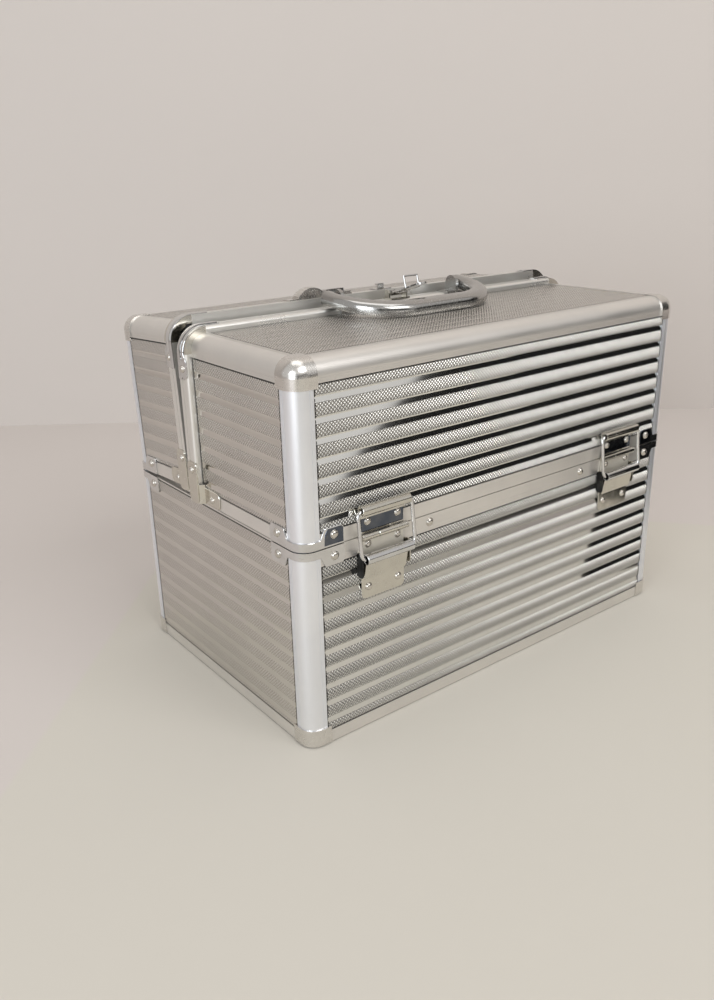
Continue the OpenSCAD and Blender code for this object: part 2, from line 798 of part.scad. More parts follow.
// Pivot pins on a lid half's end boards, for the upper and the lower tray.
module lid_tray_pivots(link) {
  both_sides() for (k = [0.5, 1])
    translate([-in_w, -hinge_out + k * link[0], body_h + k * link[1]]) rotate([0, 90, 0]) {
      cylinder(r = 5, h = 1);
      cylinder(r = pivot_r, h = in_w - tray_half + tray_t + 1);
    }
}

module front_tray_pivots() color(chrome) front_place() lid_tray_pivots(front_link);
module rear_tray_pivots() color(chrome) rear_place() lid_tray_pivots(rear_link);

module arm_pivots(link) {
  both_sides() translate([-in_w, -hinge_out + link[2], body_h + link[3]]) rotate([0, 90, 0]) {
    cylinder(r = 5, h = in_w - arm_x - arm_t - 0.3);
    cylinder(r = pivot_r, h = in_w - arm_x + 0.4);
    translate([0, 0, in_w - arm_x + 0.4]) cylinder(r = 3.4, h = 0.7);
  }
}

module tray_arm_pivots() {
  color(chrome) {
    front_place() arm_pivots(front_link);
    rear_closed() arm_pivots(rear_link);
  }
}

// Arm parallel to the lid link, with pins into both trays; a is how far it has turned.
module tray_arms(link, a) {
  v = turned([link[0], link[1]], a);
  len = norm(v);
  both_sides() translate([-arm_x - arm_t, -hinge_out + link[2], body_h + link[3]])
    rotate([atan2(v[1], v[0]), 0, 0]) {
      difference() {
        union() {
          translate([0, 0, -arm_w / 2]) cube([arm_t, len, arm_w]);
          for (y = [0, len]) translate([0, y, 0]) rotate([0, 90, 0]) cylinder(r = arm_w / 2, h = arm_t);
        }
        translate([-1, 0, 0]) rotate([0, 90, 0]) cylinder(r = pivot_r + 0.1, h = arm_t + 2);
      }
      for (y = [len / 2, len]) translate([0, y, 0]) rotate([0, 90, 0])
        cylinder(r = pivot_r, h = arm_t + arm_x - tray_half + tray_t + 1);
    }
}

module front_tray_arms() color(satin) front_place() tray_arms(front_link, 0);
module rear_tray_arms() color(satin) rear_closed() tray_arms(rear_link, rear_ajar);

// Open tray between y0 and y1 with two dividers, bored at its two pivots.
module tray(link, k, y0, y1, z0, h) {
  near = [-hinge_out + k * link[0], body_h + k * link[1]];
  far = near + [link[2], link[3]];
  rise = near[1] + 4.5 - z0;
  difference() {
    union() {
      difference() {
        translate([-tray_half, y0, z0]) cube([2 * tray_half, y1 - y0, h]);
        translate([-tray_half + tray_t, y0 + tray_t, z0 + tray_t])
          cube([2 * (tray_half - tray_t), y1 - y0 - 2 * tray_t, h]);
      }
      for (s = [-1, 1]) translate([s * tray_half / 3 - tray_t / 2, y0 + 0.5, z0 + 0.5])
        cube([tray_t, y1 - y0 - 1, h - 2]);
      if (rise > h) both_sides() translate([-tray_half, near[0] - 5, z0]) cube([tray_t, 10, rise]);
    }
    both_sides() {
      translate([-tray_half - 1, near[0], near[1]]) rotate([0, 90, 0])
        cylinder(r = pivot_r + 0.1, h = tray_t + 2);
      translate([-tray_half - 1, far[0], far[1]]) rotate([0, 90, 0])
        cylinder(r = pivot_r + 0.3, h = tray_t + 2);
    }
  }
}

// Trays stay level, so with the lid half ajar they have only been carried along an arc.
module carried(link, k, a) {
  v = turned([link[0], link[1]], a) - [link[0], link[1]];
  translate([0, k * v[0], k * v[1]]) children();
}

tray_colour = [0.17, 0.17, 0.18];
module front_upper_tray() {
  color(tray_colour) front_place()
    tray(front_link, 1, 12, front_d - tray_margin, upper_z, upper_tray_h);
}
module front_lower_tray() {
  color(tray_colour) front_place()
    tray(front_link, 0.5, 18, front_d - tray_margin, lower_z, lower_tray_h);
}
module rear_upper_tray() {
  color(tray_colour) rear_closed() carried(rear_link, 1, rear_ajar)
    tray(rear_link, 1, 13, rear_d - tray_margin, upper_z, upper_tray_h);
}
module rear_lower_tray() {
  color(tray_colour) rear_closed() carried(rear_link, 0.5, rear_ajar)
    tray(rear_link, 0.5, 18, rear_d - tray_margin, lower_z + 1, lower_tray_h - 1);
}

body_floor_board();
body_front_board();
body_rear_board();
body_left_board();
body_right_board();
body_corner_posts();
body_bottom_rails();
body_bottom_caps();
body_rim_rails();
body_corner_brackets();
body_rivets();
front_latch_bases();
rear_hinge_body_leaves();
hinge_pins();
tray_arm_pivots();
front_lid_face_board();
front_lid_top_board();
front_lid_end_boards();
front_lid_corner_posts();
front_lid_top_rails();
front_lid_bottom_rails();
front_lid_seam_rail();
front_lid_seam_corners();
front_lid_corner_caps();
front_lid_brackets();
front_lid_rivets();
front_latch_keepers();
handle_feet();
centre_latch_keeper();
front_tray_pivots();
rear_lid_face_board();
rear_lid_top_board();
rear_lid_end_boards();
rear_lid_corner_posts();
rear_lid_top_rails();
rear_lid_bottom_rails();
rear_lid_seam_rail();
rear_lid_seam_corners();
rear_lid_corner_caps();
rear_lid_brackets();
rear_lid_rivets();
rear_hinge_lid_leaves();
centre_latch_base();
seam_lock_housing();
rear_tray_pivots();
handle();
centre_latch_lever();
centre_latch_bail();
seam_lock_slider();
latch_bail_left();
latch_bail_right();
latch_lever_left();
latch_lever_right();
front_upper_tray();
front_lower_tray();
rear_upper_tray();
rear_lower_tray();
front_tray_arms();
rear_tray_arms();
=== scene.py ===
"""Looks of the makeup storage case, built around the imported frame.

Every length is in metres. X runs left to right seen from the front, the front looks
along -Y and +Z is up. Surfaces are worked out as whole numpy arrays.
"""

from __future__ import annotations

import logging
import math
from dataclasses import dataclass, field
from enum import Enum

import bmesh
import bpy
import numpy as np
from mathutils import Matrix, Vector

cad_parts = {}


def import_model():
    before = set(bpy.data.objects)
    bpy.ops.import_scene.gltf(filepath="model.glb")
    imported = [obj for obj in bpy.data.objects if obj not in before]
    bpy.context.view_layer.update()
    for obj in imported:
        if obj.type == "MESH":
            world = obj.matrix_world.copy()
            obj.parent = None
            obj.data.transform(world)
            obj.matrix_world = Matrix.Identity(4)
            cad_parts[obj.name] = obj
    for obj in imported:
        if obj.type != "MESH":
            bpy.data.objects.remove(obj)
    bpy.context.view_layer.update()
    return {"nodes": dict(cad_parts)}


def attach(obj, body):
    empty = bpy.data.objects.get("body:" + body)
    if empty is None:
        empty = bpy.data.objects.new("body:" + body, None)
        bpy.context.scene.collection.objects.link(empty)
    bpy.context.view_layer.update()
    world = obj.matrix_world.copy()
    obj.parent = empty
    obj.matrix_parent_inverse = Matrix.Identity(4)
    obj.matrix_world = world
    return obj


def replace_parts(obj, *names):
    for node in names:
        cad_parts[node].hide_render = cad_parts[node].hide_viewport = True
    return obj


LOG = logging.getLogger("makeup_case")
MM = 0.001
Array = np.ndarray
Point = tuple[float, float, float]
Colour = tuple[float, float, float]


class Body(Enum):
    """CAD bodies that pieces ride on."""

    CASE = "body"
    FRONT = "front_lid"
    REAR = "rear_lid"
    HANDLE = "handle"
    BAIL_LEFT = "bail_left"
    BAIL_RIGHT = "bail_right"
    LEVER_LEFT = "lever_left"
    LEVER_RIGHT = "lever_right"


class Slot(Enum):
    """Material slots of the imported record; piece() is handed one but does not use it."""

    SHEET = "embossed_sheet"
    CHROME = "chrome_fittings"


class Grain(Enum):
    """Direction in which a metal profile was drawn or brushed."""

    ALONG_X = (0.02, 1.0, 1.0)
    ALONG_Z = (1.0, 1.0, 0.02)
    NONE = (1.0, 1.0, 1.0)


@dataclass(frozen=True)
class CaseSizes:
    """Sizes that repeat the named values of the part's source, in millimetres."""

    width: float = 360.0
    depth: float = 222.0
    body_h: float = 140.0
    lid_h: float = 116.0
    seam_y: float = 18.0
    edge_w: float = 14.2
    edge_r: float = 10.0
    lip: float = 1.2
    foot_rail_h: float = 9.6
    rim_h: float = 11.5
    lid_rail_h: float = 9.6
    seam_w: float = 11.0
    seam_proud: float = 4.5
    seam_gap: float = 0.5
    joint_gap: float = 0.5
    shift_y: float = 1.7455
    hinge_out: float = 2.8
    rear_ajar: float = 3.4
    latch_x: float = 118.0
    handle_tip: float = 7.0

    @property
    def half(self) -> float:
        """Half the width."""
        return self.width / 2

    @property
    def front_d(self) -> float:
        """Depth of the front lid half."""
        return self.depth / 2 + self.seam_y

    @property
    def rear_d(self) -> float:
        """Depth of the rear lid half."""
        return self.depth / 2 - self.seam_y

    @property
    def top_z(self) -> float:
        """Height of the top rails."""
        return self.body_h + self.lid_h

    @property
    def seam_top_z(self) -> float:
        """Height of the seam rails."""
        return self.top_z + self.seam_proud

    @property
    def rim_z(self) -> float:
        """Upper edge of the body."""
        return self.body_h - self.joint_gap / 2

    @property
    def lid_z(self) -> float:
        """Lower edge of the lid."""
        return self.body_h + self.joint_gap / 2

    def seam_start(self, depth: float) -> float:
        """Distance from a long face to where that lid half's seam rail begins."""
        return depth - self.seam_gap / 2 - self.seam_w


SIZES = CaseSizes()


class Place(Enum):
    """Local frames: y = 0 is the outer face of a long side and y grows inwards."""

    FRONT = "front"
    REAR_CLOSED = "rear closed"
    REAR_AJAR = "rear ajar"

    def world(self, points: Array) -> Array:
        """Carries local millimetre points into the row frame.

        Args:
            points: Array whose last axis is x, y, z in millimetres.

        Returns:
            The same points in metres.
        """
        out = np.array(points, float)
        if self is Place.FRONT:
            out[..., 1] += SIZES.shift_y - SIZES.depth / 2
            return out * MM
        out[..., 1] = SIZES.shift_y + SIZES.depth / 2 - out[..., 1]
        if self is Place.REAR_AJAR:
            pivot_y = SIZES.shift_y + SIZES.depth / 2 + SIZES.hinge_out
            turn = math.radians(-SIZES.rear_ajar)
            dy, dz = out[..., 1] - pivot_y, out[..., 2] - SIZES.body_h
            out[..., 1] = pivot_y + dy * math.cos(turn) - dz * math.sin(turn)
            out[..., 2] = SIZES.body_h + dy * math.sin(turn) + dz * math.cos(turn)
        return out * MM

    @property
    def flips(self) -> bool:
        """Whether the frame mirrors, so that faces have to be turned round."""
        return self is not Place.FRONT


# ------------------------------------------------------------------ materials
def toned(colour: Colour, factor: float) -> Colour:
    """The colour times factor, with no part over 1."""
    return tuple(min(part * factor, 1.0) for part in colour)


class Graph:
    """A material's node tree, with short calls for the nodes used here."""

    MIX_A, MIX_B, MIX_RESULT = 6, 7, 2

    def __init__(self, name: str) -> None:
        """Starts an empty material with a Principled BSDF.

        Args:
            name: The material's name.
        """
        self.material = bpy.data.materials.new(name)
        self.material.use_nodes = True
        self.tree = self.material.node_tree
        self.tree.nodes.clear()
        self.output = self.tree.nodes.new("ShaderNodeOutputMaterial")
        self.shader = self.tree.nodes.new("ShaderNodeBsdfPrincipled")
        self.link(self.shader.outputs[0], self.output.inputs["Surface"])

    def link(self, source: bpy.types.NodeSocket, target: bpy.types.NodeSocket) -> None:
        """Joins an output socket to an input socket."""
        self.tree.links.new(source, target)

    def feed(self, target: bpy.types.NodeSocket, value: object) -> None:
        """Links a socket or writes a plain value into target.

        Args:
            target: The input socket.
            value: An output socket, a number or a colour.
        """
        if isinstance(value, bpy.types.NodeSocket):
            self.link(value, target)
        elif isinstance(value, tuple):
            target.default_value = (*value, 1.0)
        else:
            target.default_value = value

    def math(self, kind: str, a: object, b: object = 0.0, clamp: bool = False) -> bpy.types.NodeSocket:
        """A Math node.

        Args:
            kind: The operation, such as MULTIPLY.
            a: First value or socket.
            b: Second value or socket.
            clamp: Whether the result is kept between 0 and 1.

        Returns:
            The node's output socket.
        """
        node = self.tree.nodes.new("ShaderNodeMath")
        node.operation = kind
        node.use_clamp = clamp
        self.feed(node.inputs[0], a)
        self.feed(node.inputs[1], b)
        return node.outputs[0]

    def coords(self, kind: str = "Object") -> bpy.types.NodeSocket:
        """The named texture coordinate."""
        return self.tree.nodes.new("ShaderNodeTexCoord").outputs[kind]

    def split(self, vector: bpy.types.NodeSocket) -> list[bpy.types.NodeSocket]:
        """The three parts of a vector socket.

        Args:
            vector: The socket to take apart.

        Returns:
            The sockets of x, y and z.
        """
        node = self.tree.nodes.new("ShaderNodeSeparateXYZ")
        self.link(vector, node.inputs[0])
        return list(node.outputs)

    def stretch(self, vector: bpy.types.NodeSocket, scale: Point) -> bpy.types.NodeSocket:
        """A vector scaled by a Mapping node.

        Args:
            vector: The socket to scale.
            scale: Factors for x, y and z.

        Returns:
            The scaled socket.
        """
        node = self.tree.nodes.new("ShaderNodeMapping")
        self.link(vector, node.inputs["Vector"])
        node.inputs["Scale"].default_value = scale
        return node.outputs[0]

    def noise(self, vector: bpy.types.NodeSocket, scale: float, detail: float = 3.0) -> bpy.types.NodeSocket:
        """The value of a noise texture.

        Args:
            vector: Where it is read.
            scale: Its lumps to the metre.
            detail: Its octaves.

        Returns:
            The value socket.
        """
        node = self.tree.nodes.new("ShaderNodeTexNoise")
        self.link(vector, node.inputs["Vector"])
        node.inputs["Scale"].default_value = scale
        node.inputs["Detail"].default_value = detail
        return node.outputs[0]

    def ramp(self, value: bpy.types.NodeSocket, stops: list[tuple[float, float]]) -> bpy.types.NodeSocket:
        """Maps a value through grey stops.

        Args:
            value: The socket to map.
            stops: Pairs of position and grey level, in rising order.

        Returns:
            The mapped colour socket.
        """
        node = self.tree.nodes.new("ShaderNodeValToRGB")
        band = node.color_ramp
        while len(band.elements) < len(stops):
            band.elements.new(0.5)
        for element, (at, grey) in zip(band.elements, stops):
            element.position = at
            element.color = (grey, grey, grey, 1.0)
        self.link(value, node.inputs[0])
        return node.outputs[0]

    def mix(self, factor: object, a: object, b: object, blend: str = "MIX") -> bpy.types.NodeSocket:
        """A colour mix.

        Args:
            factor: Share of b, as a number or socket.
            a: First colour or socket.
            b: Second colour or socket.
            blend: The way b is laid over a.

        Returns:
            The mixed colour socket.
        """
        node = self.tree.nodes.new("ShaderNodeMix")
        node.data_type = "RGBA"
        node.blend_type = blend
        self.feed(node.inputs["Factor"], factor)
        self.feed(node.inputs[self.MIX_A], a)
        self.feed(node.inputs[self.MIX_B], b)
        return node.outputs[self.MIX_RESULT]

    def bump(self, height: bpy.types.NodeSocket, strength: float, distance: float) -> None:
        """Feeds a bump into the shader's normal.

        Args:
            height: The socket that gives the height.
            strength: Share of the bump that counts.
            distance: Metres that a height of 1 stands for.
        """
        node = self.tree.nodes.new("ShaderNodeBump")
        node.inputs["Strength"].default_value = strength
        node.inputs["Distance"].default_value = distance
        self.link(height, node.inputs["Height"])
        self.link(node.outputs[0], self.shader.inputs["Normal"])

    def set(self, **values: object) -> None:
        """Writes plain values or links into the shader.

        Args:
            values: What goes into each socket, with _ for blanks in its name.
        """
        for name, value in values.items():
            self.feed(self.shader.inputs[name.replace("_", " ")], value)


@dataclass(frozen=True)
class SatinFinish:
    """Satin anodised profile: fine drawn lines, faint handling marks."""

    name: str
    grain: Grain
    colour: Colour = (0.86, 0.87, 0.88)
    roughness: float = 0.32

    def make(self) -> bpy.types.Material:
        """Builds the node material."""
        g = Graph(self.name)
        at = g.coords()
        lines = g.noise(g.stretch(at, self.grain.value), 2600.0, 2.0)
        cloud = g.noise(at, 26.0, 4.0)
        worn = g.ramp(cloud, [(0.35, 0.0), (0.75, 1.0)])
        shade = g.mix(worn, self.colour, toned(self.colour, 0.9))
        g.set(
            Base_Color=g.mix(g.math("MULTIPLY", lines, 0.35), shade, toned(self.colour, 1.1)),
            Metallic=0.85,
            Roughness=g.math("ADD", g.math("MULTIPLY", worn, 0.12), self.roughness),
        )
        g.bump(lines, 0.10, 0.0001)
        return g.material


@dataclass(frozen=True)
class ChromeFinish:
    """Bright plated steel with fine scratches, haze and a little tarnish."""

    name: str
    colour: Colour = (0.70, 0.71, 0.72)
    roughness: float = 0.10
    tarnish: float = 0.35
    spotting: float = 0.25
    tarnish_colour: Colour = (0.48, 0.46, 0.42)
    spot_colour: Colour = (0.30, 0.27, 0.22)

    def make(self) -> bpy.types.Material:
        """Builds the node material."""
        g = Graph(self.name)
        at = g.coords()
        haze = g.ramp(g.noise(at, 90.0, 5.0), [(0.40, 0.0), (0.72, 1.0)])
        lines = g.noise(g.stretch(at, (1.0, 0.06, 0.4)), 1800.0, 2.0)
        scratch = g.ramp(lines, [(0.60, 0.0), (0.68, 1.0)])
        spots = g.ramp(g.noise(at, 420.0, 2.0), [(0.66, 0.0), (0.72, 1.0)])
        dulled = g.math("ADD", haze, scratch)
        base = g.mix(g.math("MULTIPLY", haze, self.tarnish), self.colour, self.tarnish_colour)
        g.set(
            Base_Color=g.mix(g.math("MULTIPLY", spots, self.spotting), base, self.spot_colour),
            Metallic=1.0,
            Roughness=g.math("ADD", g.math("MULTIPLY", dulled, 0.10), self.roughness),
        )
        g.bump(scratch, 0.05, 0.0001)
        return g.material


@dataclass(frozen=True)
class EmbossedFinish:
    """Silver sheet: fine diamond knurl on the raised bands, bright smooth grooves.

    The piece's UV map gives metres along the bands and metres across them, with a
    band's lower edge at each whole pitch. Its rim attribute gives millimetres to the
    panel's edge, where dark teeth are painted as the shadow of the gap at the border.
    The knurl's hollows and the grooves are coloured darker as painted shade.
    """

    name: str
    pitch: float = 12.5 * MM
    band: float = 0.68
    diamond: float = 2.5 * MM
    row: float = 2.53 * MM
    plain: bool = False
    # contrast: how much darker the knurl's hollows are coloured, as painted shade.
    contrast: float = 1.0
    depth: float = 0.00068
    colour: Colour = (0.94, 0.935, 0.905)
    # groove: factor on the grooves' colour; below 1 it is painted shade.
    groove: float = 1.0
    # Colour of the painted shadow along the sheet's border.
    rim_shadow_colour: Colour = (0.12, 0.12, 0.12)
    scuff_colour: Colour = (0.45, 0.44, 0.42)

    def knurl(self, g: Graph, u: bpy.types.NodeSocket, v: bpy.types.NodeSocket) -> bpy.types.NodeSocket:
        """Height of the diamonds.

        Two slanted rows of ridges cross. Each gives the distance from the middle of
        its ridge, and the height is 1 less the larger of the two.

        Args:
            g: The material's graph.
            u: Metres along the bands.
            v: Metres across them.

        Returns:
            The height socket, from 0 to 1.
        """
        along = g.math("DIVIDE", u, self.diamond)
        across = g.math("DIVIDE", v, self.row)
        slopes = []
        for kind in ("ADD", "SUBTRACT"):
            cycle = g.math("FRACT", g.math(kind, along, across))
            slopes.append(g.math("MULTIPLY", g.math("ABSOLUTE", g.math("SUBTRACT", cycle, 0.5)), 2.0))
        return g.math("SUBTRACT", 1.0, g.math("MAXIMUM", *slopes))

    def on_band(self, g: Graph, v: bpy.types.NodeSocket) -> bpy.types.NodeSocket:
        """Whether a place lies on a raised band.

        Args:
            g: The material's graph.
            v: Metres across the bands.

        Returns:
            A socket of 1 on a band and 0 in a groove, or little less than 1 there on
            a plain sheet, whose knurl runs on through shallow grooves.
        """
        part = g.math("FRACT", g.math("DIVIDE", v, self.pitch))
        above = g.math("GREATER_THAN", part, 0.03)
        inside = g.math("MULTIPLY", above, g.math("LESS_THAN", part, self.band + 0.002))
        if self.plain:
            inside = g.math("ADD", 0.8, g.math("MULTIPLY", inside, 0.2))
        return inside

    def make(self) -> bpy.types.Material:
        """Builds the node material."""
        g = Graph(self.name)
        u, v, _ = g.split(g.coords("UV"))
        at = g.coords()
        height = self.knurl(g, u, v)
        inside = self.on_band(g, v)
        cloud = g.ramp(g.noise(at, 14.0, 4.0), [(0.35, 0.0), (0.7, 1.0)])
        streaks = g.noise(g.stretch(at, (0.2, 0.2, 1.0)), 240.0, 3.0)
        scuff = g.ramp(streaks, [(0.62, 0.0), (0.7, 1.0)])
        pale = g.mix(cloud, self.colour, toned(self.colour, 0.92))
        # Painted shade: the knurl's hollows are coloured darker by the contrast, and the grooves by the
        # groove factor.
        low, middle = 1.0 - 0.90 * self.contrast, 1.0 - 0.45 * self.contrast
        tone = g.ramp(height, [(0.0, low), (0.16, low), (0.30, middle), (0.42, 1.0)])
        shade = g.mix(inside, (self.groove, self.groove, self.groove), tone)
        rim = g.tree.nodes.new("ShaderNodeAttribute")
        rim.attribute_name = "rim"
        # Painted shadow of the gap at the sheet's border, toothed like the knurl.
        rim_shadow_teeth = g.math("ADD", 0.15, g.math("MULTIPLY", g.math("SUBTRACT", 1.0, height), 0.75))
        shade = g.mix(g.math("LESS_THAN", rim.outputs["Fac"], rim_shadow_teeth), shade, self.rim_shadow_colour)
        silver = g.mix(1.0, pale, shade, "MULTIPLY")
        g.set(
            Base_Color=g.mix(g.math("MULTIPLY", scuff, 0.12), silver, self.scuff_colour),
            Metallic=1.0,
            Roughness=g.math("ADD", g.math("MULTIPLY", inside, 0.20), 0.06),
        )
        g.bump(g.math("MULTIPLY", height, inside), 1.0, self.depth)
        return g.material


@dataclass(frozen=True)
class MattFinish:
    """Moulded plastic or flocked board: fine grain with a soft cloud of shade."""

    name: str
    colour: Colour
    roughness: float
    scale: float
    depth: float

    def make(self) -> bpy.types.Material:
        """Builds the node material."""
        g = Graph(self.name)
        at = g.coords()
        grain = g.noise(at, self.scale, 4.0)
        cloud = g.noise(at, 18.0, 3.0)
        g.set(
            Base_Color=g.mix(cloud, toned(self.colour, 0.8), toned(self.colour, 1.25)),
            Roughness=g.math("ADD", g.math("MULTIPLY", grain, 0.15), self.roughness),
        )
        g.bump(grain, 0.35, self.depth)
        return g.material


@dataclass
class Palette:
    """Every finish of the case, made once."""

    satin: dict[Grain, bpy.types.Material] = field(default_factory=dict)
    chrome: bpy.types.Material | None = None
    polished: bpy.types.Material | None = None
    polished_rail: bpy.types.Material | None = None
    sheet: bpy.types.Material | None = None
    body_sheet: bpy.types.Material | None = None
    end_sheet: bpy.types.Material | None = None
    top_sheet: bpy.types.Material | None = None
    rivet: bpy.types.Material | None = None
    latch: bpy.types.Material | None = None
    leaf: bpy.types.Material | None = None
    cap: bpy.types.Material | None = None
    painted_reflection_plate: bpy.types.Material | None = None
    painted_shadow_cheek: bpy.types.Material | None = None
    tray: bpy.types.Material | None = None
    lining: bpy.types.Material | None = None

    def build(self) -> "Palette":
        """Makes the materials and returns the palette."""
        self.build_aluminium()
        self.build_steel()
        self.tray = MattFinish("black_tray_plastic", (0.035, 0.035, 0.038), 0.42, 900.0, 0.0001).make()
        self.lining = MattFinish("black_flocked_lining", (0.03, 0.03, 0.032), 0.85, 2600.0, 0.0002).make()
        return self

    def build_aluminium(self) -> None:
        """Makes the profiles' satin, cool on posts and warm on rails, and the sheets."""
        # The posts' cool tint and the rails' warm tint are painted reflection: of the cool side light on the
        # posts and of the warm wall on the rails.
        cool, warm = (0.87, 0.885, 0.92), (0.76, 0.735, 0.70)
        for grain in Grain:
            tint = cool if grain is Grain.ALONG_Z else warm
            self.satin[grain] = SatinFinish(f"satin_{grain.name.lower()}", grain, tint).make()
        bright_rail = (0.80, 0.785, 0.75)
        self.polished_rail = SatinFinish("polished_seam_rail", Grain.ALONG_X, bright_rail, 0.26).make()
        # Each sheet's contrast and groove set how much painted shade its knurl hollows and grooves take.
        self.sheet = EmbossedFinish("embossed_silver_sheet", contrast=0.72).make()
        self.body_sheet = EmbossedFinish(
            "embossed_body_sheet", contrast=0.55, depth=0.0007, groove=0.80
        ).make()
        # The end and top sheets take the faces' sheet in a darker, warmer colour: painted reflection of the
        # warm wall.
        self.end_sheet = EmbossedFinish(
            "embossed_end_sheet", contrast=0.5, depth=0.00026, colour=(0.86, 0.83, 0.79), groove=0.82
        ).make()
        self.top_sheet = EmbossedFinish(
            "embossed_top_sheet", plain=True, contrast=0.8, depth=0.00042, colour=(0.86, 0.83, 0.78)
        ).make()

    def build_steel(self) -> None:
        """Makes the plated and rolled finishes of the fittings, a dark one for painted reflection and a black
        one for painted shadow.
        """
        self.chrome = ChromeFinish("chrome_plate", (0.72, 0.72, 0.72), 0.08, 0.25).make()
        self.polished = ChromeFinish("polished_handle", (0.44, 0.435, 0.425), 0.14, 0.2).make()
        self.rivet = ChromeFinish("nickel_rivet", (0.66, 0.63, 0.58), 0.16, 0.3).make()
        self.latch = ChromeFinish("rolled_latch_steel", (0.68, 0.655, 0.59), 0.13, 0.25, 0.12).make()
        # The hinge leaf is coloured lighter than the latch steel, painted light against the dark reflection
        # of the lever above it; its roughness is the brushing.
        self.leaf = ChromeFinish("brushed_hinge_leaf", (0.86, 0.83, 0.76), 0.5, 0.1, 0.05).make()
        self.cap = ChromeFinish("satin_chrome_cap", (0.76, 0.74, 0.71), 0.19, 0.2, 0.08).make()
        # Painted reflection: a dark colour for the keeper plates and the front tabs, standing for the dark
        # things they mirror.
        self.painted_reflection_plate = ChromeFinish("painted_dark_reflection_plate", (0.10, 0.115, 0.145), 0.10, 0.15).make()
        # Painted shadow: black for the ear on the left of each lever, which lies in shade.
        self.painted_shadow_cheek = ChromeFinish("painted_shadow_black_ear", (0.03, 0.03, 0.03), 0.35, 0.1).make()


# ------------------------------------------------------------------ mesh tools
@dataclass
class Patch:
    """A grid of points, with flags that say which of its two directions closes."""

    points: Array
    uv: Array | None = None
    rim: Array | None = None
    close_u: bool = False
    close_v: bool = False

    def faces(self) -> Array:
        """Quads of the grid as rows of four point numbers."""
        rows, cols = self.points.shape[:2]
        i = np.arange(rows if self.close_u else rows - 1)
        j = np.arange(cols if self.close_v else cols - 1)
        a, b = np.meshgrid(i, j, indexing="ij")
        c, d = (a + 1) % rows, (b + 1) % cols
        return np.stack([a * cols + b, c * cols + b, c * cols + d, a * cols + d], -1).reshape(-1, 4)


class Maker:
    """Turns patches into Blender pieces that ride on a body."""

    FAR_FROM_RIM = 9.0
    SAME_POINT = 1e-6
    NO_AREA = 1e-14

    def piece(
        self,
        name: str,
        patches: list[Patch],
        material: bpy.types.Material,
        body: Body,
        slot: Slot,
        place: Place,
        smooth: float = 40.0,
        fix: bool = True,
    ) -> bpy.types.Object:
        """Builds one object from patches.

        Args:
            name: The piece's name.
            patches: Grids in millimetres of the place.
            material: Its finish.
            body: The CAD body that it rides on.
            slot: Not used.
            place: Local frame of the points.
            smooth: Angle in degrees under which edges are shaded smooth.
            fix: Whether normals are recalculated outwards, for closed shells.

        Returns:
            The new object.
        """
        points, faces, uvs, rims, start = [], [], [], [], 0
        for patch in patches:
            flat = place.world(patch.points).reshape(-1, 3)
            quads = patch.faces()
            if place.flips:
                quads = quads[:, ::-1]
            points.append(flat)
            rims.append(np.full(len(flat), self.FAR_FROM_RIM) if patch.rim is None else patch.rim.ravel())
            faces.append(quads + start)
            chart = patch.points[..., :2] * MM if patch.uv is None else patch.uv
            uvs.append(chart.reshape(-1, 2)[quads].reshape(-1, 2))
            start += len(flat)
        mesh = bpy.data.meshes.new(name)
        mesh.from_pydata(np.concatenate(points).tolist(), [], np.concatenate(faces).tolist())
        layer = mesh.uv_layers.new(name="UVMap")
        layer.data.foreach_set("uv", np.concatenate(uvs).astype(np.float32).ravel())
        if any(patch.rim is not None for patch in patches):
            rim = mesh.attributes.new("rim", "FLOAT", "POINT")
            rim.data.foreach_set("value", np.concatenate(rims).astype(np.float32))
        obj = bpy.data.objects.new(name, mesh)
        bpy.context.scene.collection.objects.link(obj)
        self.tidy(obj, fix)
        self.shade(obj, smooth)
        obj.data.materials.append(material)
        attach(obj, body.value)
        LOG.info("%s: %d faces on %s", name, len(obj.data.polygons), body.value)
        return obj

    @classmethod
    def tidy(cls, obj: bpy.types.Object, fix: bool) -> None:
        """Merges doubled points and drops faces without an area.

        Args:
            obj: The piece.
            fix: Whether it is a closed shell, whose faces are turned outwards.
        """
        bm = bmesh.new()
        bm.from_mesh(obj.data)
        bmesh.ops.remove_doubles(bm, verts=bm.verts, dist=cls.SAME_POINT)
        flat = [f for f in bm.faces if f.calc_area() < cls.NO_AREA]
        bmesh.ops.delete(bm, geom=flat, context="FACES")
        if fix:
            bmesh.ops.recalc_face_normals(bm, faces=bm.faces)
        bm.to_mesh(obj.data)
        bm.free()

    @staticmethod
    def shade(obj: bpy.types.Object, angle: float) -> None:
        """Shades a piece smooth.

        Args:
            obj: The piece.
            angle: Degrees over which an edge is kept sharp.
        """
        mesh = obj.data
        mesh.polygons.foreach_set("use_smooth", np.ones(len(mesh.polygons), bool))
        mesh.set_sharp_from_angle(angle=math.radians(angle))


def smooth_step(x: Array) -> Array:
    """Runs from 0 to 1 and is level at both ends: 3x² − 2x³, with x kept between 0 and 1."""
    x = np.clip(x, 0, 1)
    return x * x * (3 - 2 * x)


def round_off(x: Array, radius: float) -> Array:
    """Fall of a rounded corner: radius · (1 − √(1 − x²)), with x kept between 0 and 1."""
    x = np.clip(x, 0, 1)
    return radius * (1 - np.sqrt(1 - x**2 + 1e-9))


def capped(sections: Array) -> Patch:
    """A shell of closed sections whose first and last one close on their own middles.

    Args:
        sections: Sections, each a row of points.

    Returns:
        The closed grid.
    """
    ends = [np.broadcast_to(sections[k].mean(0), sections[:1].shape) for k in (0, -1)]
    return Patch(np.concatenate([ends[0], sections, ends[1]]), close_v=True)


def mirrored(patch: Patch) -> Patch:
    """The patch on the other side of the middle."""
    return Patch(patch.points * np.array([-1.0, 1.0, 1.0]), close_u=patch.close_u, close_v=patch.close_v)


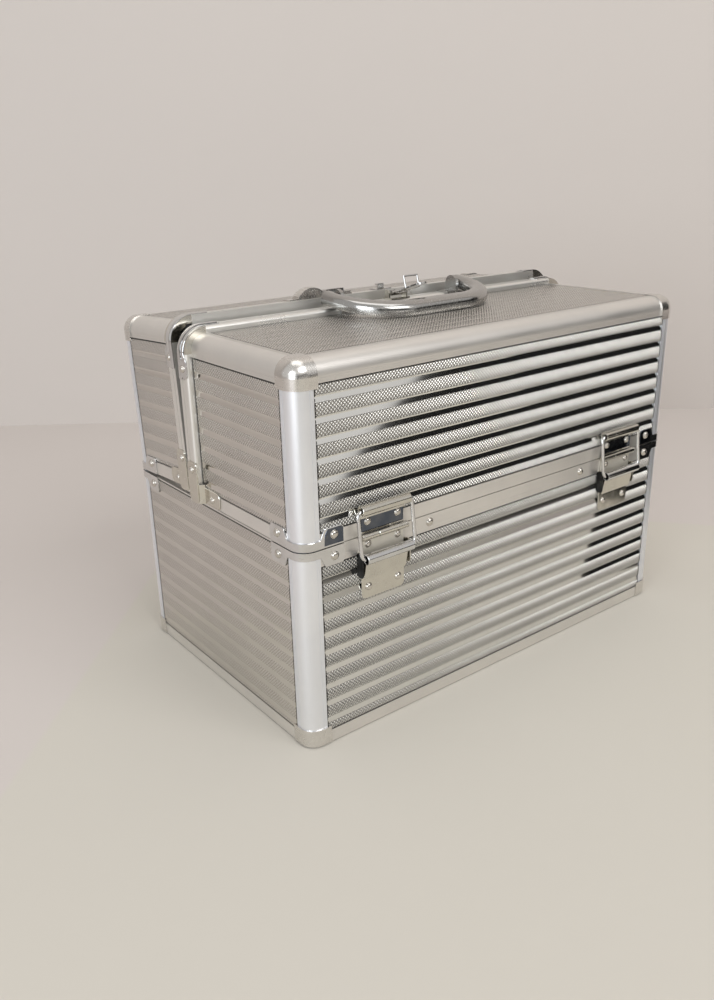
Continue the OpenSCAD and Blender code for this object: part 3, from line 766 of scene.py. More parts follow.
def revolve(profile: Array, centre: Point, axis: str, steps: int) -> Patch:
    """Turns a profile about an axis.

    A point is centre + r(cos a, sin a) across the axis + h along it.

    Args:
        profile: Rows of radius and height.
        centre: Where the axis starts.
        axis: One of x, y, -x, -y, where the last two turn the heights round.
        steps: Points round the turn.

    Returns:
        The closed grid.
    """
    turn = np.linspace(0, 2 * np.pi, steps, endpoint=False)
    r, h = np.asarray(profile, float).T
    wide, tall = np.outer(np.cos(turn), r), np.outer(np.sin(turn), r)
    height = np.broadcast_to(h, wide.shape) * (-1.0 if axis.startswith("-") else 1.0)
    order = (height, wide, tall) if axis.endswith("x") else (wide, height, tall)
    return Patch(np.stack(order, -1) + np.asarray(centre, float), close_u=True)


def wire_loop(path: Array, radius: float, steps: int) -> Patch:
    """Carries a circle along a path that closes on itself.

    A point is path + r(cos a · n + sin a · b), where n and b are carried along the
    path without twist.

    Args:
        path: Rows of points.
        radius: The wire's radius.
        steps: Points round the circle.

    Returns:
        The wire's grid.
    """
    ahead = np.roll(path, -1, 0) - np.roll(path, 1, 0)
    ahead /= np.linalg.norm(ahead, axis=1, keepdims=True)
    side = np.cross(ahead[0], (0.31, 0.52, 0.79))
    normals = []
    for direction in ahead:
        side = side - direction * np.dot(side, direction)
        side = side / np.linalg.norm(side)
        normals.append(side)
    n = np.array(normals)[:, None]
    b = np.cross(ahead, n[:, 0])[:, None]
    turn = np.linspace(0, 2 * np.pi, steps, endpoint=False)[None, :, None]
    ring = n * np.cos(turn) + b * np.sin(turn)
    return Patch(path[:, None] + ring * radius, close_u=True, close_v=True)


def rounded_loop(corners: Array, radius: float, steps: int) -> Array:
    """A closed path with its corners rounded.

    Each corner becomes a quadratic curve between points radius away on its two sides.

    Args:
        corners: Rows of corner points, in order.
        radius: Distance over which a corner bends.
        steps: Points on each bend.

    Returns:
        Rows of path points.
    """
    before, after = np.roll(corners, 1, 0), np.roll(corners, -1, 0)
    out = []
    t = np.linspace(0, 1, steps)[:, None]
    for p, c, q in zip(before, corners, after):
        a = c + (p - c) / np.linalg.norm(p - c) * radius
        b = c + (q - c) / np.linalg.norm(q - c) * radius
        out.append((1 - t) ** 2 * a + 2 * t * (1 - t) * c + t**2 * b)
    return np.concatenate(out)


def slab(outline: Array, low: float, high: float, bevel: float) -> Patch:
    """A plate of a rounded outline with softened edges.

    The outline is drawn in towards its middle by the bevel at the two faces, and
    each face closes on the middle point.

    Args:
        outline: Rows of x, y points round a convex outline.
        low: Height of the lower face.
        high: Height of the upper face.
        bevel: Width of the softened edge.

    Returns:
        The closed grid, with the plate's height as z.
    """
    middle = outline.mean(0)
    reach = np.linalg.norm(outline - middle, axis=1, keepdims=True)
    inner = middle + (outline - middle) * (1 - bevel / reach)
    rings = [(np.broadcast_to(middle, outline.shape), low), (inner, low), (outline, low + bevel)]
    rings += [(outline, high - bevel), (inner, high), (np.broadcast_to(middle, outline.shape), high)]
    points = np.stack([np.column_stack([ring, np.full(len(ring), z)]) for ring, z in rings])
    return Patch(points, close_v=True)


def rounded_box_outline(x0: float, x1: float, y0: float, y1: float, radius: float) -> Array:
    """Outline of a rectangle whose corners are quarter circles.

    Args:
        x0: Its left edge.
        x1: Its right edge.
        y0: Its lower edge.
        y1: Its upper edge.
        radius: Radius of its corners.

    Returns:
        Rows of x, y.
    """
    quarter = np.linspace(0, np.pi / 2, 6)
    left, right, low, high = x0 + radius, x1 - radius, y0 + radius, y1 - radius
    out = []
    for k, middle in enumerate(((right, high), (left, high), (left, low), (right, low))):
        turn = quarter + k * np.pi / 2
        out.append(np.array(middle) + radius * np.column_stack([np.cos(turn), np.sin(turn)]))
    return np.concatenate(out)


# ------------------------------------------------------------------ the sheet
@dataclass
class EmbossedSheets:
    """The silver sheet on every board: raised knurled bands between bright grooves."""

    maker: Maker
    palette: Palette
    pitch: float = 12.5
    band: float = 8.5
    proud: float = 1.10
    lip: float = 0.82
    wall: float = 0.78
    base: float = 1.14
    edge: float = 0.45
    body_phase: float = 119.7
    end_phase: float = 117.0
    lid_phase: float = 222.2
    lid_end_phase: float = 220.2
    top_phase: float = 20.0

    def relief(self, across: Array) -> Array:
        """Height of the sheet over its board.

        A band is a flat crown with rounded shoulders. A groove is a crooked V: a long
        straight wall that rises to the band below it and a short one up to the band
        above. Both follow the distance across from a band's lower edge.

        Args:
            across: Millimetres across the bands, with a lower edge at each pitch.

        Returns:
            Millimetres over the board's face.
        """
        at = np.mod(across, self.pitch)
        edge = np.minimum(at, self.band - at)
        crown = self.lip + (self.proud - self.lip) * np.clip(edge / 0.5, 0, 1) ** 0.5
        span = self.pitch - self.band
        into = np.clip((at - self.band) / span, 0, 1)
        fall = np.where(into < self.wall, into / self.wall, (1 - into) / (1 - self.wall))
        groove = self.lip * (1 - fall)
        return np.where(at <= self.band, crown, groove)

    def rows(self, low: float, high: float) -> Array:
        """Sample heights, close together at each band's edges.

        Args:
            low: The panel's lower edge, from a band's lower edge.
            high: The panel's upper edge.

        Returns:
            The heights in rising order.
        """
        near_edge = np.array([0.0, 0.06, 0.18, 0.5])
        wall_parts = np.array([0.05, 0.25, 0.5, 0.7, 0.78, 0.86, 0.95])
        marks = np.concatenate([
            near_edge, [self.band / 2], self.band - near_edge[::-1],
            self.band + (self.pitch - self.band) * wall_parts,
        ])
        first = math.floor(low / self.pitch) - 1
        count = math.ceil((high - low) / self.pitch) + 3
        grid = (marks[None] + self.pitch * (first + np.arange(count))[:, None]).ravel()
        near = np.array([0.0, 0.5, 1.0])
        inside = grid[(grid > low + near[-1] + 0.1) & (grid < high - near[-1] - 0.1)]
        return np.concatenate([low + near, inside, high - near[::-1]])

    def patch(self, kind: str, u0: float, u1: float, v0: float, v1: float, phase: float) -> Patch:
        """One panel of sheet, whose relief is flatter at the ends and on top.

        Args:
            kind: face, left, right or top: which way the panel looks.
            u0: Start along the bands, millimetres.
            u1: End along the bands.
            v0: Start across the bands.
            v1: End across the bands.
            phase: Place across the bands of one band's lower edge.

        Returns:
            The grid in the lid half's local frame, with UV in metres.
        """
        v = self.rows(v0 - phase, v1 - phase)
        depth = {"face": 1.0, "left": 0.22, "right": 0.22, "top": 0.12}[kind]
        out = self.proud - (self.proud - self.relief(v)) * depth
        v = v + phase
        near = np.array([0.0, 0.5, 1.0, 3.0])
        u = np.concatenate([u0 + near, np.linspace(u0 + 6, u1 - 6, 20), u1 - near[::-1]])
        uu, vv = np.meshgrid(u, v, indexing="ij")
        rim = np.minimum.reduce([uu - u0, u1 - uu, vv - v0, v1 - vv]).clip(0, 3)
        rise = np.broadcast_to(out, uu.shape)
        half, top, base = SIZES.half, SIZES.top_z, self.base
        if kind == "face":
            points = np.stack([uu, base - rise, vv], -1)
        elif kind == "left":
            points = np.stack([-half + base - rise, uu, vv], -1)[::-1]
        elif kind == "right":
            points = np.stack([half - base + rise, uu, vv], -1)
        else:
            points = np.stack([uu, vv, top - base + rise], -1)
        uv = np.stack([uu * MM, (vv - phase) * MM], -1)
        if kind == "left":
            uv, rim = uv[::-1], rim[::-1]
        return Patch(points, uv, rim)

    def build(self) -> None:
        """Makes the sheets of the body and both lid halves."""
        s, e = SIZES, self.edge
        side = s.half - s.edge_w - e
        inner = s.edge_w + e
        body_low, body_high = s.foot_rail_h + e, s.rim_z - s.rim_h - e
        lid_low, lid_high = s.lid_z + s.lid_rail_h + e, s.top_z - s.edge_w - e
        for depth, ride, word, fixed, place in (
            (s.front_d, Body.FRONT, "front", Place.FRONT, Place.FRONT),
            (s.rear_d, Body.REAR, "rear", Place.REAR_CLOSED, Place.REAR_AJAR),
        ):
            start = s.seam_start(depth) - e
            low = self.patch("face", -side, side, body_low, body_high, self.body_phase)
            face = self.patch("face", -side, side, lid_low, lid_high, self.lid_phase)
            top = self.patch("top", -side, side, inner, start, self.top_phase)
            ends = self.ends(inner, start, lid_low, lid_high, self.lid_end_phase)
            self.add(f"body_{word}_sheet", [low], self.palette.body_sheet, Body.CASE, fixed)
            self.add(f"{word}_lid_face_sheet", [face], self.palette.sheet, ride, place)
            self.add(f"{word}_lid_end_sheets", ends, self.palette.end_sheet, ride, place)
            self.add(f"{word}_lid_top_sheet", [top], self.palette.top_sheet, ride, place)
        ends = self.ends(inner, s.depth - inner, body_low, s.rim_z - s.lip - e, self.end_phase)
        self.add("body_end_sheets", ends, self.palette.end_sheet, Body.CASE, Place.FRONT)

    def ends(self, near: float, far: float, low: float, high: float, phase: float) -> list[Patch]:
        """The panels of both ends.

        Args:
            near: Where they start, from the long side.
            far: Where they end.
            low: Their lower edge.
            high: Their upper edge.
            phase: Height of one band's lower edge.

        Returns:
            The left and the right panel.
        """
        return [self.patch(kind, near, far, low, high, phase) for kind in ("left", "right")]

    def add(
        self, name: str, patches: list[Patch], finish: bpy.types.Material, body: Body, place: Place
    ) -> None:
        """Turns patches into one sheet that faces outwards.

        Args:
            name: The piece's name.
            patches: Its panels.
            finish: Its material.
            body: The body that it rides on.
            place: Local frame of its points.
        """
        obj = self.maker.piece(name, patches, finish, body, Slot.SHEET, place, 35.0, fix=False)
        self.face_out(obj)

    @staticmethod
    def face_out(obj: bpy.types.Object) -> None:
        """Turns the faces that look towards the middle of the case.

        A few walls of the grooves look that way by themselves, so nothing is turned
        where there are no more than those.

        Args:
            obj: The sheet.
        """
        bm = bmesh.new()
        bm.from_mesh(obj.data)
        middle = Vector((0.0, 0.0, 0.13))
        share_of_walls = 0.02
        bm.normal_update()
        wrong = [f for f in bm.faces if f.normal.dot(f.calc_center_median() - middle) < 0]
        if len(wrong) > len(bm.faces) * share_of_walls:
            bmesh.ops.reverse_faces(bm, faces=wrong)
        bm.to_mesh(obj.data)
        bm.free()


# ------------------------------------------------------------------ handle
@dataclass
class Handle:
    """Folding handle: a D-shaped pressed bar, domed above and hollow below."""

    maker: Maker
    palette: Palette
    half: float = 69.5
    reach: float = 53.0
    grip: float = 16.0
    arm: float = 11.0
    thick: float = 9.0
    corner: float = 44.0
    back: float = 3.6
    wall: float = 1.6
    squash: float = 0.72
    dome: float = 0.85
    skirt: float = 0.9
    pivot_in: float = 7.0
    pivot_up: float = 6.5

    def outline(self, half: float, reach: float, corner: float) -> Array:
        """One edge of the D.

        It runs from the left arm's end round two quarter circles to the right arm's.

        Args:
            half: Half width.
            reach: Distance of its front edge from the pivot.
            corner: Radius of its corners.

        Returns:
            Rows of x, y.
        """
        arm = np.linspace(self.back, -reach + corner, 8)[:-1]
        left = np.column_stack([np.full(len(arm), -half), arm])
        turn = np.linspace(np.pi, 1.5 * np.pi, 28)
        bend = corner * np.column_stack([np.cos(turn), np.sin(turn)]) + (corner - half, corner - reach)
        front = np.linspace(-half + corner, half - corner, 14)[1:-1]
        band = np.column_stack([front, np.full(len(front), -reach)])
        other = np.column_stack([-bend[::-1, 0], bend[::-1, 1]])
        right = np.column_stack([-left[::-1, 0], left[::-1, 1]])
        return np.concatenate([left, bend, band, other, right])

    def section(self) -> tuple[Array, Array]:
        """The bar's section: an arch whose sides curl in, with a hollow under it.

        The arch is an arc (cos a, sin a) with its parts raised to the powers squash
        and dome. The hollow is a narrower copy that lies a wall's thickness lower.

        Returns:
            Shares of the bar's width from its middle, and heights in millimetres.
        """
        turn = np.linspace(-0.16 * np.pi, 1.16 * np.pi, 26)
        across = np.sign(np.cos(turn)) * np.abs(np.cos(turn)) ** self.squash * 0.5
        rise = np.sin(turn)
        rise = np.where(rise > 0, np.maximum(rise, 0) ** self.dome, rise * self.skirt)
        low = rise.min()
        over = (rise - low) / (1 - low) * self.thick - self.thick / 2 + 0.5
        under = over - self.wall * np.clip(np.sin(turn) + 0.25, 0, 1)
        shrink = 1 - 2 * self.wall / self.arm
        return np.concatenate([across, (across * shrink)[::-1]]), np.concatenate([over, under[::-1]])

    def build(self) -> None:
        """Carries the section along the D and tips the bar about its pivot."""
        outer = self.outline(self.half, self.reach, self.corner)
        inner = self.outline(self.half - self.arm, self.reach - self.grip, self.corner - self.arm + 1)
        q, h = self.section()
        plan = ((outer + inner) / 2)[:, None] + (outer - inner)[:, None] * q[None, :, None]
        height = np.broadcast_to(h[None, :, None], (*plan.shape[:2], 1))
        x, y, z = np.moveaxis(capped(np.concatenate([plan, height], -1)).points, -1, 0)
        tip = math.radians(SIZES.handle_tip)
        back = y * math.cos(tip) - z * math.sin(tip) + SIZES.front_d - self.pivot_in
        up = y * math.sin(tip) + z * math.cos(tip) + SIZES.seam_top_z + self.pivot_up
        shell = [Patch(np.stack([x, back, up], -1), close_v=True)]
        finish = self.palette.polished
        bar = self.maker.piece("handle_bar", shell, finish, Body.HANDLE, Slot.CHROME, Place.FRONT, 50.0)
        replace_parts(bar, "handle")


# ------------------------------------------------------------------ fittings
def ribbon(curve: Array, thick: float, half: float | Array, bevel: float) -> Patch:
    """Bent sheet metal: a strip of even thickness carried along a curve.

    Each curve point has a normal, and the strip's section there is a bevelled
    rectangle that reaches half to each side and half the thickness along the normal.

    Args:
        curve: Rows of two coordinates in the plane of bending.
        thick: The sheet's thickness.
        half: Half width, one value or one for each curve point.
        bevel: Width of the softened edges.

    Returns:
        The closed grid, whose first coordinate runs across the strip.
    """
    ahead = np.gradient(curve, axis=0)
    ahead /= np.linalg.norm(ahead, axis=1, keepdims=True)
    normal = np.column_stack([-ahead[:, 1], ahead[:, 0]])
    t, b = thick / 2, bevel
    across = np.array([-1, 1, 1, 1, 1, -1, -1, -1], float)
    inset = np.array([b, b, 0, 0, b, b, 0, 0])
    offset = np.array([t, t, t - b, b - t, -t, -t, b - t, t - b])
    reach = np.broadcast_to(np.asarray(half, float), (len(curve),))
    x = across * (reach[:, None] - inset)
    plane = curve[:, None] + normal[:, None] * offset[None, :, None]
    return capped(np.concatenate([x[..., None], plane], -1))


def shift(patch: Patch, x: float) -> Patch:
    """The patch moved sideways by x."""
    return Patch(patch.points + np.array([x, 0.0, 0.0]), close_u=patch.close_u, close_v=patch.close_v)


def on_face(patch: Patch) -> Patch:
    """Stands a patch of across, up and out on a long side."""
    across, up, out = np.moveaxis(patch.points, -1, 0)
    return Patch(np.stack([across, -out, up], -1), close_u=patch.close_u, close_v=patch.close_v)


def on_ends(patch: Patch) -> list[Patch]:
    """Stands a patch of inwards, up and out on both ends."""
    inwards, up, out = np.moveaxis(patch.points, -1, 0)
    right = Patch(np.stack([SIZES.half + out, inwards, up], -1), close_u=patch.close_u, close_v=patch.close_v)
    return [mirrored(right), right]


def arc(centre: tuple[float, float], radius: float, first: float, last: float, steps: int) -> Array:
    """Points on a part of a circle.

    Args:
        centre: Its centre.
        radius: Its radius.
        first: Angle at which it starts, in degrees.
        last: Angle at which it ends.
        steps: How many points it has.

    Returns:
        Rows of two coordinates.
    """
    turn = np.radians(np.linspace(first, last, steps))
    return np.column_stack([centre[0] + radius * np.cos(turn), centre[1] + radius * np.sin(turn)])


@dataclass
class Rivets:
    """Domed rivet heads, each a button on a low bright rim."""

    maker: Maker
    palette: Palette
    radius: float = 3.0
    small: float = 2.7
    seam_radius: float = 2.6
    from_corner: float = 24.4
    latch_half: float = 12.2
    middle_x: float = 77.0
    on_tab: float = 0.8
    on_plate: float = 1.2
    lid_tab_z: float = 7.6
    body_tab_z: float = 6.6
    keeper_z: float = 9.4
    leaf_z: float = 5.6
    latch_foot_z: float = 35.6

    def head(self, at: Point, axis: str, radius: float) -> Patch:
        """One head.

        The rim is a short step, and the dome over it follows a squashed quarter circle.

        Args:
            at: Middle of its foot.
            axis: The way it looks.
            radius: Radius of its rim.

        Returns:
            The closed grid.
        """
        turn = np.linspace(0, np.pi / 2, 6)
        dome = np.column_stack([radius * 0.86 * np.cos(turn), 0.45 + radius * 0.46 * np.sin(turn)])
        rim = np.array([[0, -0.3], [radius, -0.3], [radius, 0.22], [radius * 0.95, 0.38]])
        return revolve(np.concatenate([rim, dome]), at, axis, 20)

    def both(self, x: float, y: float, z: float, axis: str, radius: float) -> list[Patch]:
        """A head on each side of the middle.

        Args:
            x: Place of the left head across the case.
            y: Its distance inwards from the long side.
            z: Its height.
            axis: The way the left head looks.
            radius: Radius of its rim.

        Returns:
            The two heads.
        """
        other = axis if axis.endswith("y") else "x"
        return [self.head((x, y, z), axis, radius), self.head((-x, y, z), other, radius)]

    def pairs(self, z: float) -> list[Patch]:
        """The two heads of one row in both latches or hinges, at the height z."""
        out = []
        for side in (-1, 1):
            out += self.both(-SIZES.latch_x + side * self.latch_half, -self.on_plate, z, "-y", self.small)
        return out

    def lid(self, depth: float) -> list[Patch]:
        """Heads of one lid half.

        Args:
            depth: The lid half's depth.

        Returns:
            The heads in its local frame.
        """
        s, r = SIZES, self.seam_radius
        end, tab = -s.half - self.on_tab, s.body_h + self.lid_tab_z
        seam = depth - 6
        heads = self.both(-s.half + self.from_corner, -self.on_tab, tab, "-y", self.radius)
        heads += self.both(end, self.from_corner, tab, "-x", self.radius)
        heads += self.both(end, depth - 24, s.body_h + 5.5, "-x", r)
        heads += self.both(end - s.seam_proud, seam, s.body_h + 24, "-x", r)
        heads += self.both(end - s.seam_proud + 0.2, seam, s.top_z - 22, "-x", r)
        return heads + self.pairs(s.body_h + self.keeper_z)

    def build(self) -> None:
        """Makes every head and takes the place of the plain ones."""
        s = SIZES
        tab, leaf = s.body_h - self.body_tab_z, s.body_h - self.leaf_z
        corner = self.both(-s.half + self.from_corner, -self.on_tab, tab, "-y", self.radius)
        side = corner + self.pairs(leaf)
        front = side + self.both(-self.middle_x, 0, leaf, "-y", self.radius)
        front += self.pairs(s.body_h - self.latch_foot_z)
        for y in (self.from_corner, s.depth - self.from_corner):
            front += self.both(-s.half - self.on_tab, y, tab, "-x", self.radius)
        for word, heads, body, place, node in (
            ("body_front", front, Body.CASE, Place.FRONT, "body_rivets"),
            ("body_rear", side, Body.CASE, Place.REAR_CLOSED, "body_rivets"),
            ("front_lid", self.lid(s.front_d), Body.FRONT, Place.FRONT, "front_lid_rivets"),
            ("rear_lid", self.lid(s.rear_d), Body.REAR, Place.REAR_AJAR, "rear_lid_rivets"),
        ):
            finish = self.palette.rivet
            piece = self.maker.piece(f"{word}_rivet_heads", heads, finish, body, Slot.CHROME, place, 50.0)
            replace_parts(piece, node)


@dataclass
class Brackets:
    """Corner brackets at the joint: a low band round the post that swells into a tab."""

    maker: Maker
    palette: Palette
    reach: float = 32.0
    band: float = 5.6
    full: float = 12.4
    out: float = 0.85
    tab_corner: float = 2.4
    strip_bend: float = 16.5
    strip_flat: float = 8.2
    strip_tab: float = 2.9

    def wrap(self, up: bool) -> Patch:
        """One bracket round the corner at x = y = 0.

        It follows the post's rounded outline. Its height is the band's beside the
        post and climbs along a smooth step to the full height on each tab, whose
        free corner is rounded.

        Args:
            up: Whether the tabs stand up from the joint, or hang from it.

        Returns:
            The closed grid in corner coordinates.
        """
        r, w = SIZES.edge_r, SIZES.edge_w
        slow, quick = np.linspace(self.reach, w + 4, 14), np.linspace(w + 3.6, w - 1, 12)
        legs = np.concatenate([slow, quick, [r + 0.1]])
        turn = np.radians(np.linspace(180, 270, 13))
        bend = np.column_stack([np.cos(turn), np.sin(turn)])
        none = np.zeros(len(legs))
        line = np.concatenate([
            np.column_stack([none, legs]), r + r * bend, np.column_stack([legs[::-1], none])
        ])
        aside, ahead = (np.tile(side, (len(legs), 1)) for side in ([-1.0, 0.0], [0.0, -1.0]))
        way = np.concatenate([aside, bend, ahead])
        along = line.max(1)
        height = self.band + (self.full - self.band) * smooth_step((along - w + 0.6) / 4.2)
        corner = self.tab_corner
        far = (along - (self.reach - corner)) / corner
        height = height - round_off(far, corner) * (along > w)
        offset = np.array([0.1, self.out, self.out, self.out - 0.3, 0.1])
        foot = np.array([0.02, 0.15, -0.35, 0.0, 0.0])
        climbs = np.array([0, 0, 1, 1, 1])
        off = line[:, None] + way[:, None] * offset[None, :, None]
        rise = foot + height[:, None] * climbs
        return capped(np.concatenate([off, (rise if up else -rise)[..., None]], -1))

    def corners(self, z: float, up: bool, far: float | None) -> list[Patch]:
        """Brackets at both ends of one or two long sides.

        Args:
            z: Height of the joint edge.
            up: Whether the tabs stand up.
            far: Depth of the other long side, or None for one side only.

        Returns:
            The patches in the long side's frame.
        """
        patches = []
        base = self.wrap(up).points
        for side in (-1, 1):
            near = base * np.array([-side, 1.0, 1.0]) + np.array([side * SIZES.half, 0.0, z])
            patches.append(Patch(near, close_v=True))
            if far is not None:
                other = near * np.array([1.0, -1.0, 1.0]) + np.array([0.0, far, 0.0])
                patches.append(Patch(other, close_v=True))
        return patches

    def build(self) -> None:
        """Makes the brackets of the body and of both lid halves."""
        s = SIZES
        below, above = self.corners(s.rim_z, False, s.depth), self.corners(s.lid_z, True, None)
        for word, patches, body, place, node in (
            ("body", below, Body.CASE, Place.FRONT, "body_corner_brackets"),
            ("front_lid", above, Body.FRONT, Place.FRONT, "front_lid_brackets"),
            ("rear_lid", above, Body.REAR, Place.REAR_AJAR, "rear_lid_brackets"),
        ):
            finish = self.palette.chrome
            name = f"{word}_joint_brackets"
            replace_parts(self.maker.piece(name, patches, finish, body, Slot.CHROME, place, 30.0), node)
        self.tab_faces()
        for word, depth, body, place in (
            ("front", s.front_d, Body.FRONT, Place.FRONT),
            ("rear", s.rear_d, Body.REAR, Place.REAR_AJAR),
        ):
            self.foot(word, depth, body, place)
            self.seam_corner(word, depth, body, place)

    def tab_faces(self) -> None:
        """Makes the faces on the front lid's two front tabs, coloured dark as painted reflection."""
        tab = np.array([[16.8, 1.2], [31.2, 1.0], [31.2, 10.6], [29.8, 11.8], [19.4, 11.8], [17.2, 8.6]])
        left = on_face(slab(tab + np.array([-SIZES.half, SIZES.lid_z]), 0.7, 0.98, 0.2))
        name, finish = "front_lid_bracket_faces", self.palette.painted_reflection_plate
        faces = [left, mirrored(left)]
        piece = self.maker.piece(name, faces, finish, Body.FRONT, Slot.CHROME, Place.FRONT, 30.0)
        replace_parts(piece, "front_lid_brackets")

    def foot(self, word: str, depth: float, body: Body, place: Place) -> None:
        """The angle bracket that ties a seam rail's leg to the bottom rail.

        Between its leg and its sole, a web rises along a quarter of a sine wave.

        Args:
            word: Which lid half.
            depth: That half's depth.
            body: The body that it rides on.
            place: Its local frame.
        """
        low = SIZES.lid_z + 0.2
        start = SIZES.seam_start(depth)
        leg = slab(rounded_box_outline(start - 1.5, depth - 0.6, low, low + 29.8, 3.4), 4.0, 5.3, 0.3)
        sole = slab(rounded_box_outline(start - 23, start + 1.0, low, low + 11.8, 3.6), 0.05, 0.9, 0.3)
        climb = 0.5 + 4.4 * np.sin(np.linspace(0, np.pi / 2, 9))
        web = ribbon(np.column_stack([np.linspace(start - 3.2, start + 0.6, 9), climb]), 0.8, 7.0, 0.2)
        up, inwards, out = np.moveaxis(web.points, -1, 0)
        web = Patch(np.stack([inwards, up + low + 7.0, out], -1), close_v=True)
        patches = [shell for part in (leg, sole, web) for shell in on_ends(part)]
        name, finish = f"{word}_seam_foot_brackets", self.palette.latch
        piece = self.maker.piece(name, patches, finish, body, Slot.CHROME, place, 30.0)
        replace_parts(piece, f"{word}_lid_brackets")

    def seam_corner(self, word: str, depth: float, body: Body, place: Place) -> None:
        """The bright bent strip over the seam rail's corner, widening to a riveted tab.

        Its path runs along the top, round a quarter circle and down the leg. Across
        it, a bead follows a half sine next to the seam and a thin flange runs on to
        the width that the path's distance gives.

        Args:
            word: Which lid half.
            depth: That half's depth.
            body: The body that it rides on.
            place: Its local frame.
        """
        s = SIZES
        bend_x, bend_z = -168.0, s.top_z - 12
        turn = np.radians(np.linspace(90, 180, 22))
        bend = np.column_stack([np.cos(turn), np.sin(turn)])
        top = np.column_stack([np.linspace(bend_x + 12, bend_x, 8), np.full(8, s.seam_top_z)])
        leg = np.column_stack([np.full(14, -s.half - s.seam_proud), np.linspace(bend_z, bend_z - 17, 14)])
        line = np.concatenate([top[:-1], self.strip_bend * bend + (bend_x, bend_z), leg[1:]])
        way = np.concatenate([np.tile([0.0, 1.0], (7, 1)), bend, np.tile([-1.0, 0.0], (13, 1))])
        fall = bend_z - line[:, 1]
        width = self.strip_flat + self.strip_tab * smooth_step(fall / 6.0)
        width = width - round_off((fall - 13.6) / 3.4, 3.4)
        part = np.array([0.0, 0.0, 0.08, 0.2, 0.32, 0.44, 0.5, 0.53, 0.78, 0.98, 1.0, 1.0])
        rise = np.array([0.05, 0.55, 0.95, 1.2, 1.2, 0.95, 0.62, 0.5, 0.5, 0.48, 0.3, 0.05])
        bead = np.where(part < 0.5, part * 11.0, part * width[:, None])
        x, z = np.moveaxis(line[:, None] + way[:, None] * rise[None, :, None], -1, 0)
        left = capped(np.stack([x, depth - 0.35 - bead, z], -1))
        name, finish = f"{word}_seam_corner_strips", self.palette.chrome
        self.maker.piece(name, [left, mirrored(left)], finish, body, Slot.CHROME, place, 40.0)


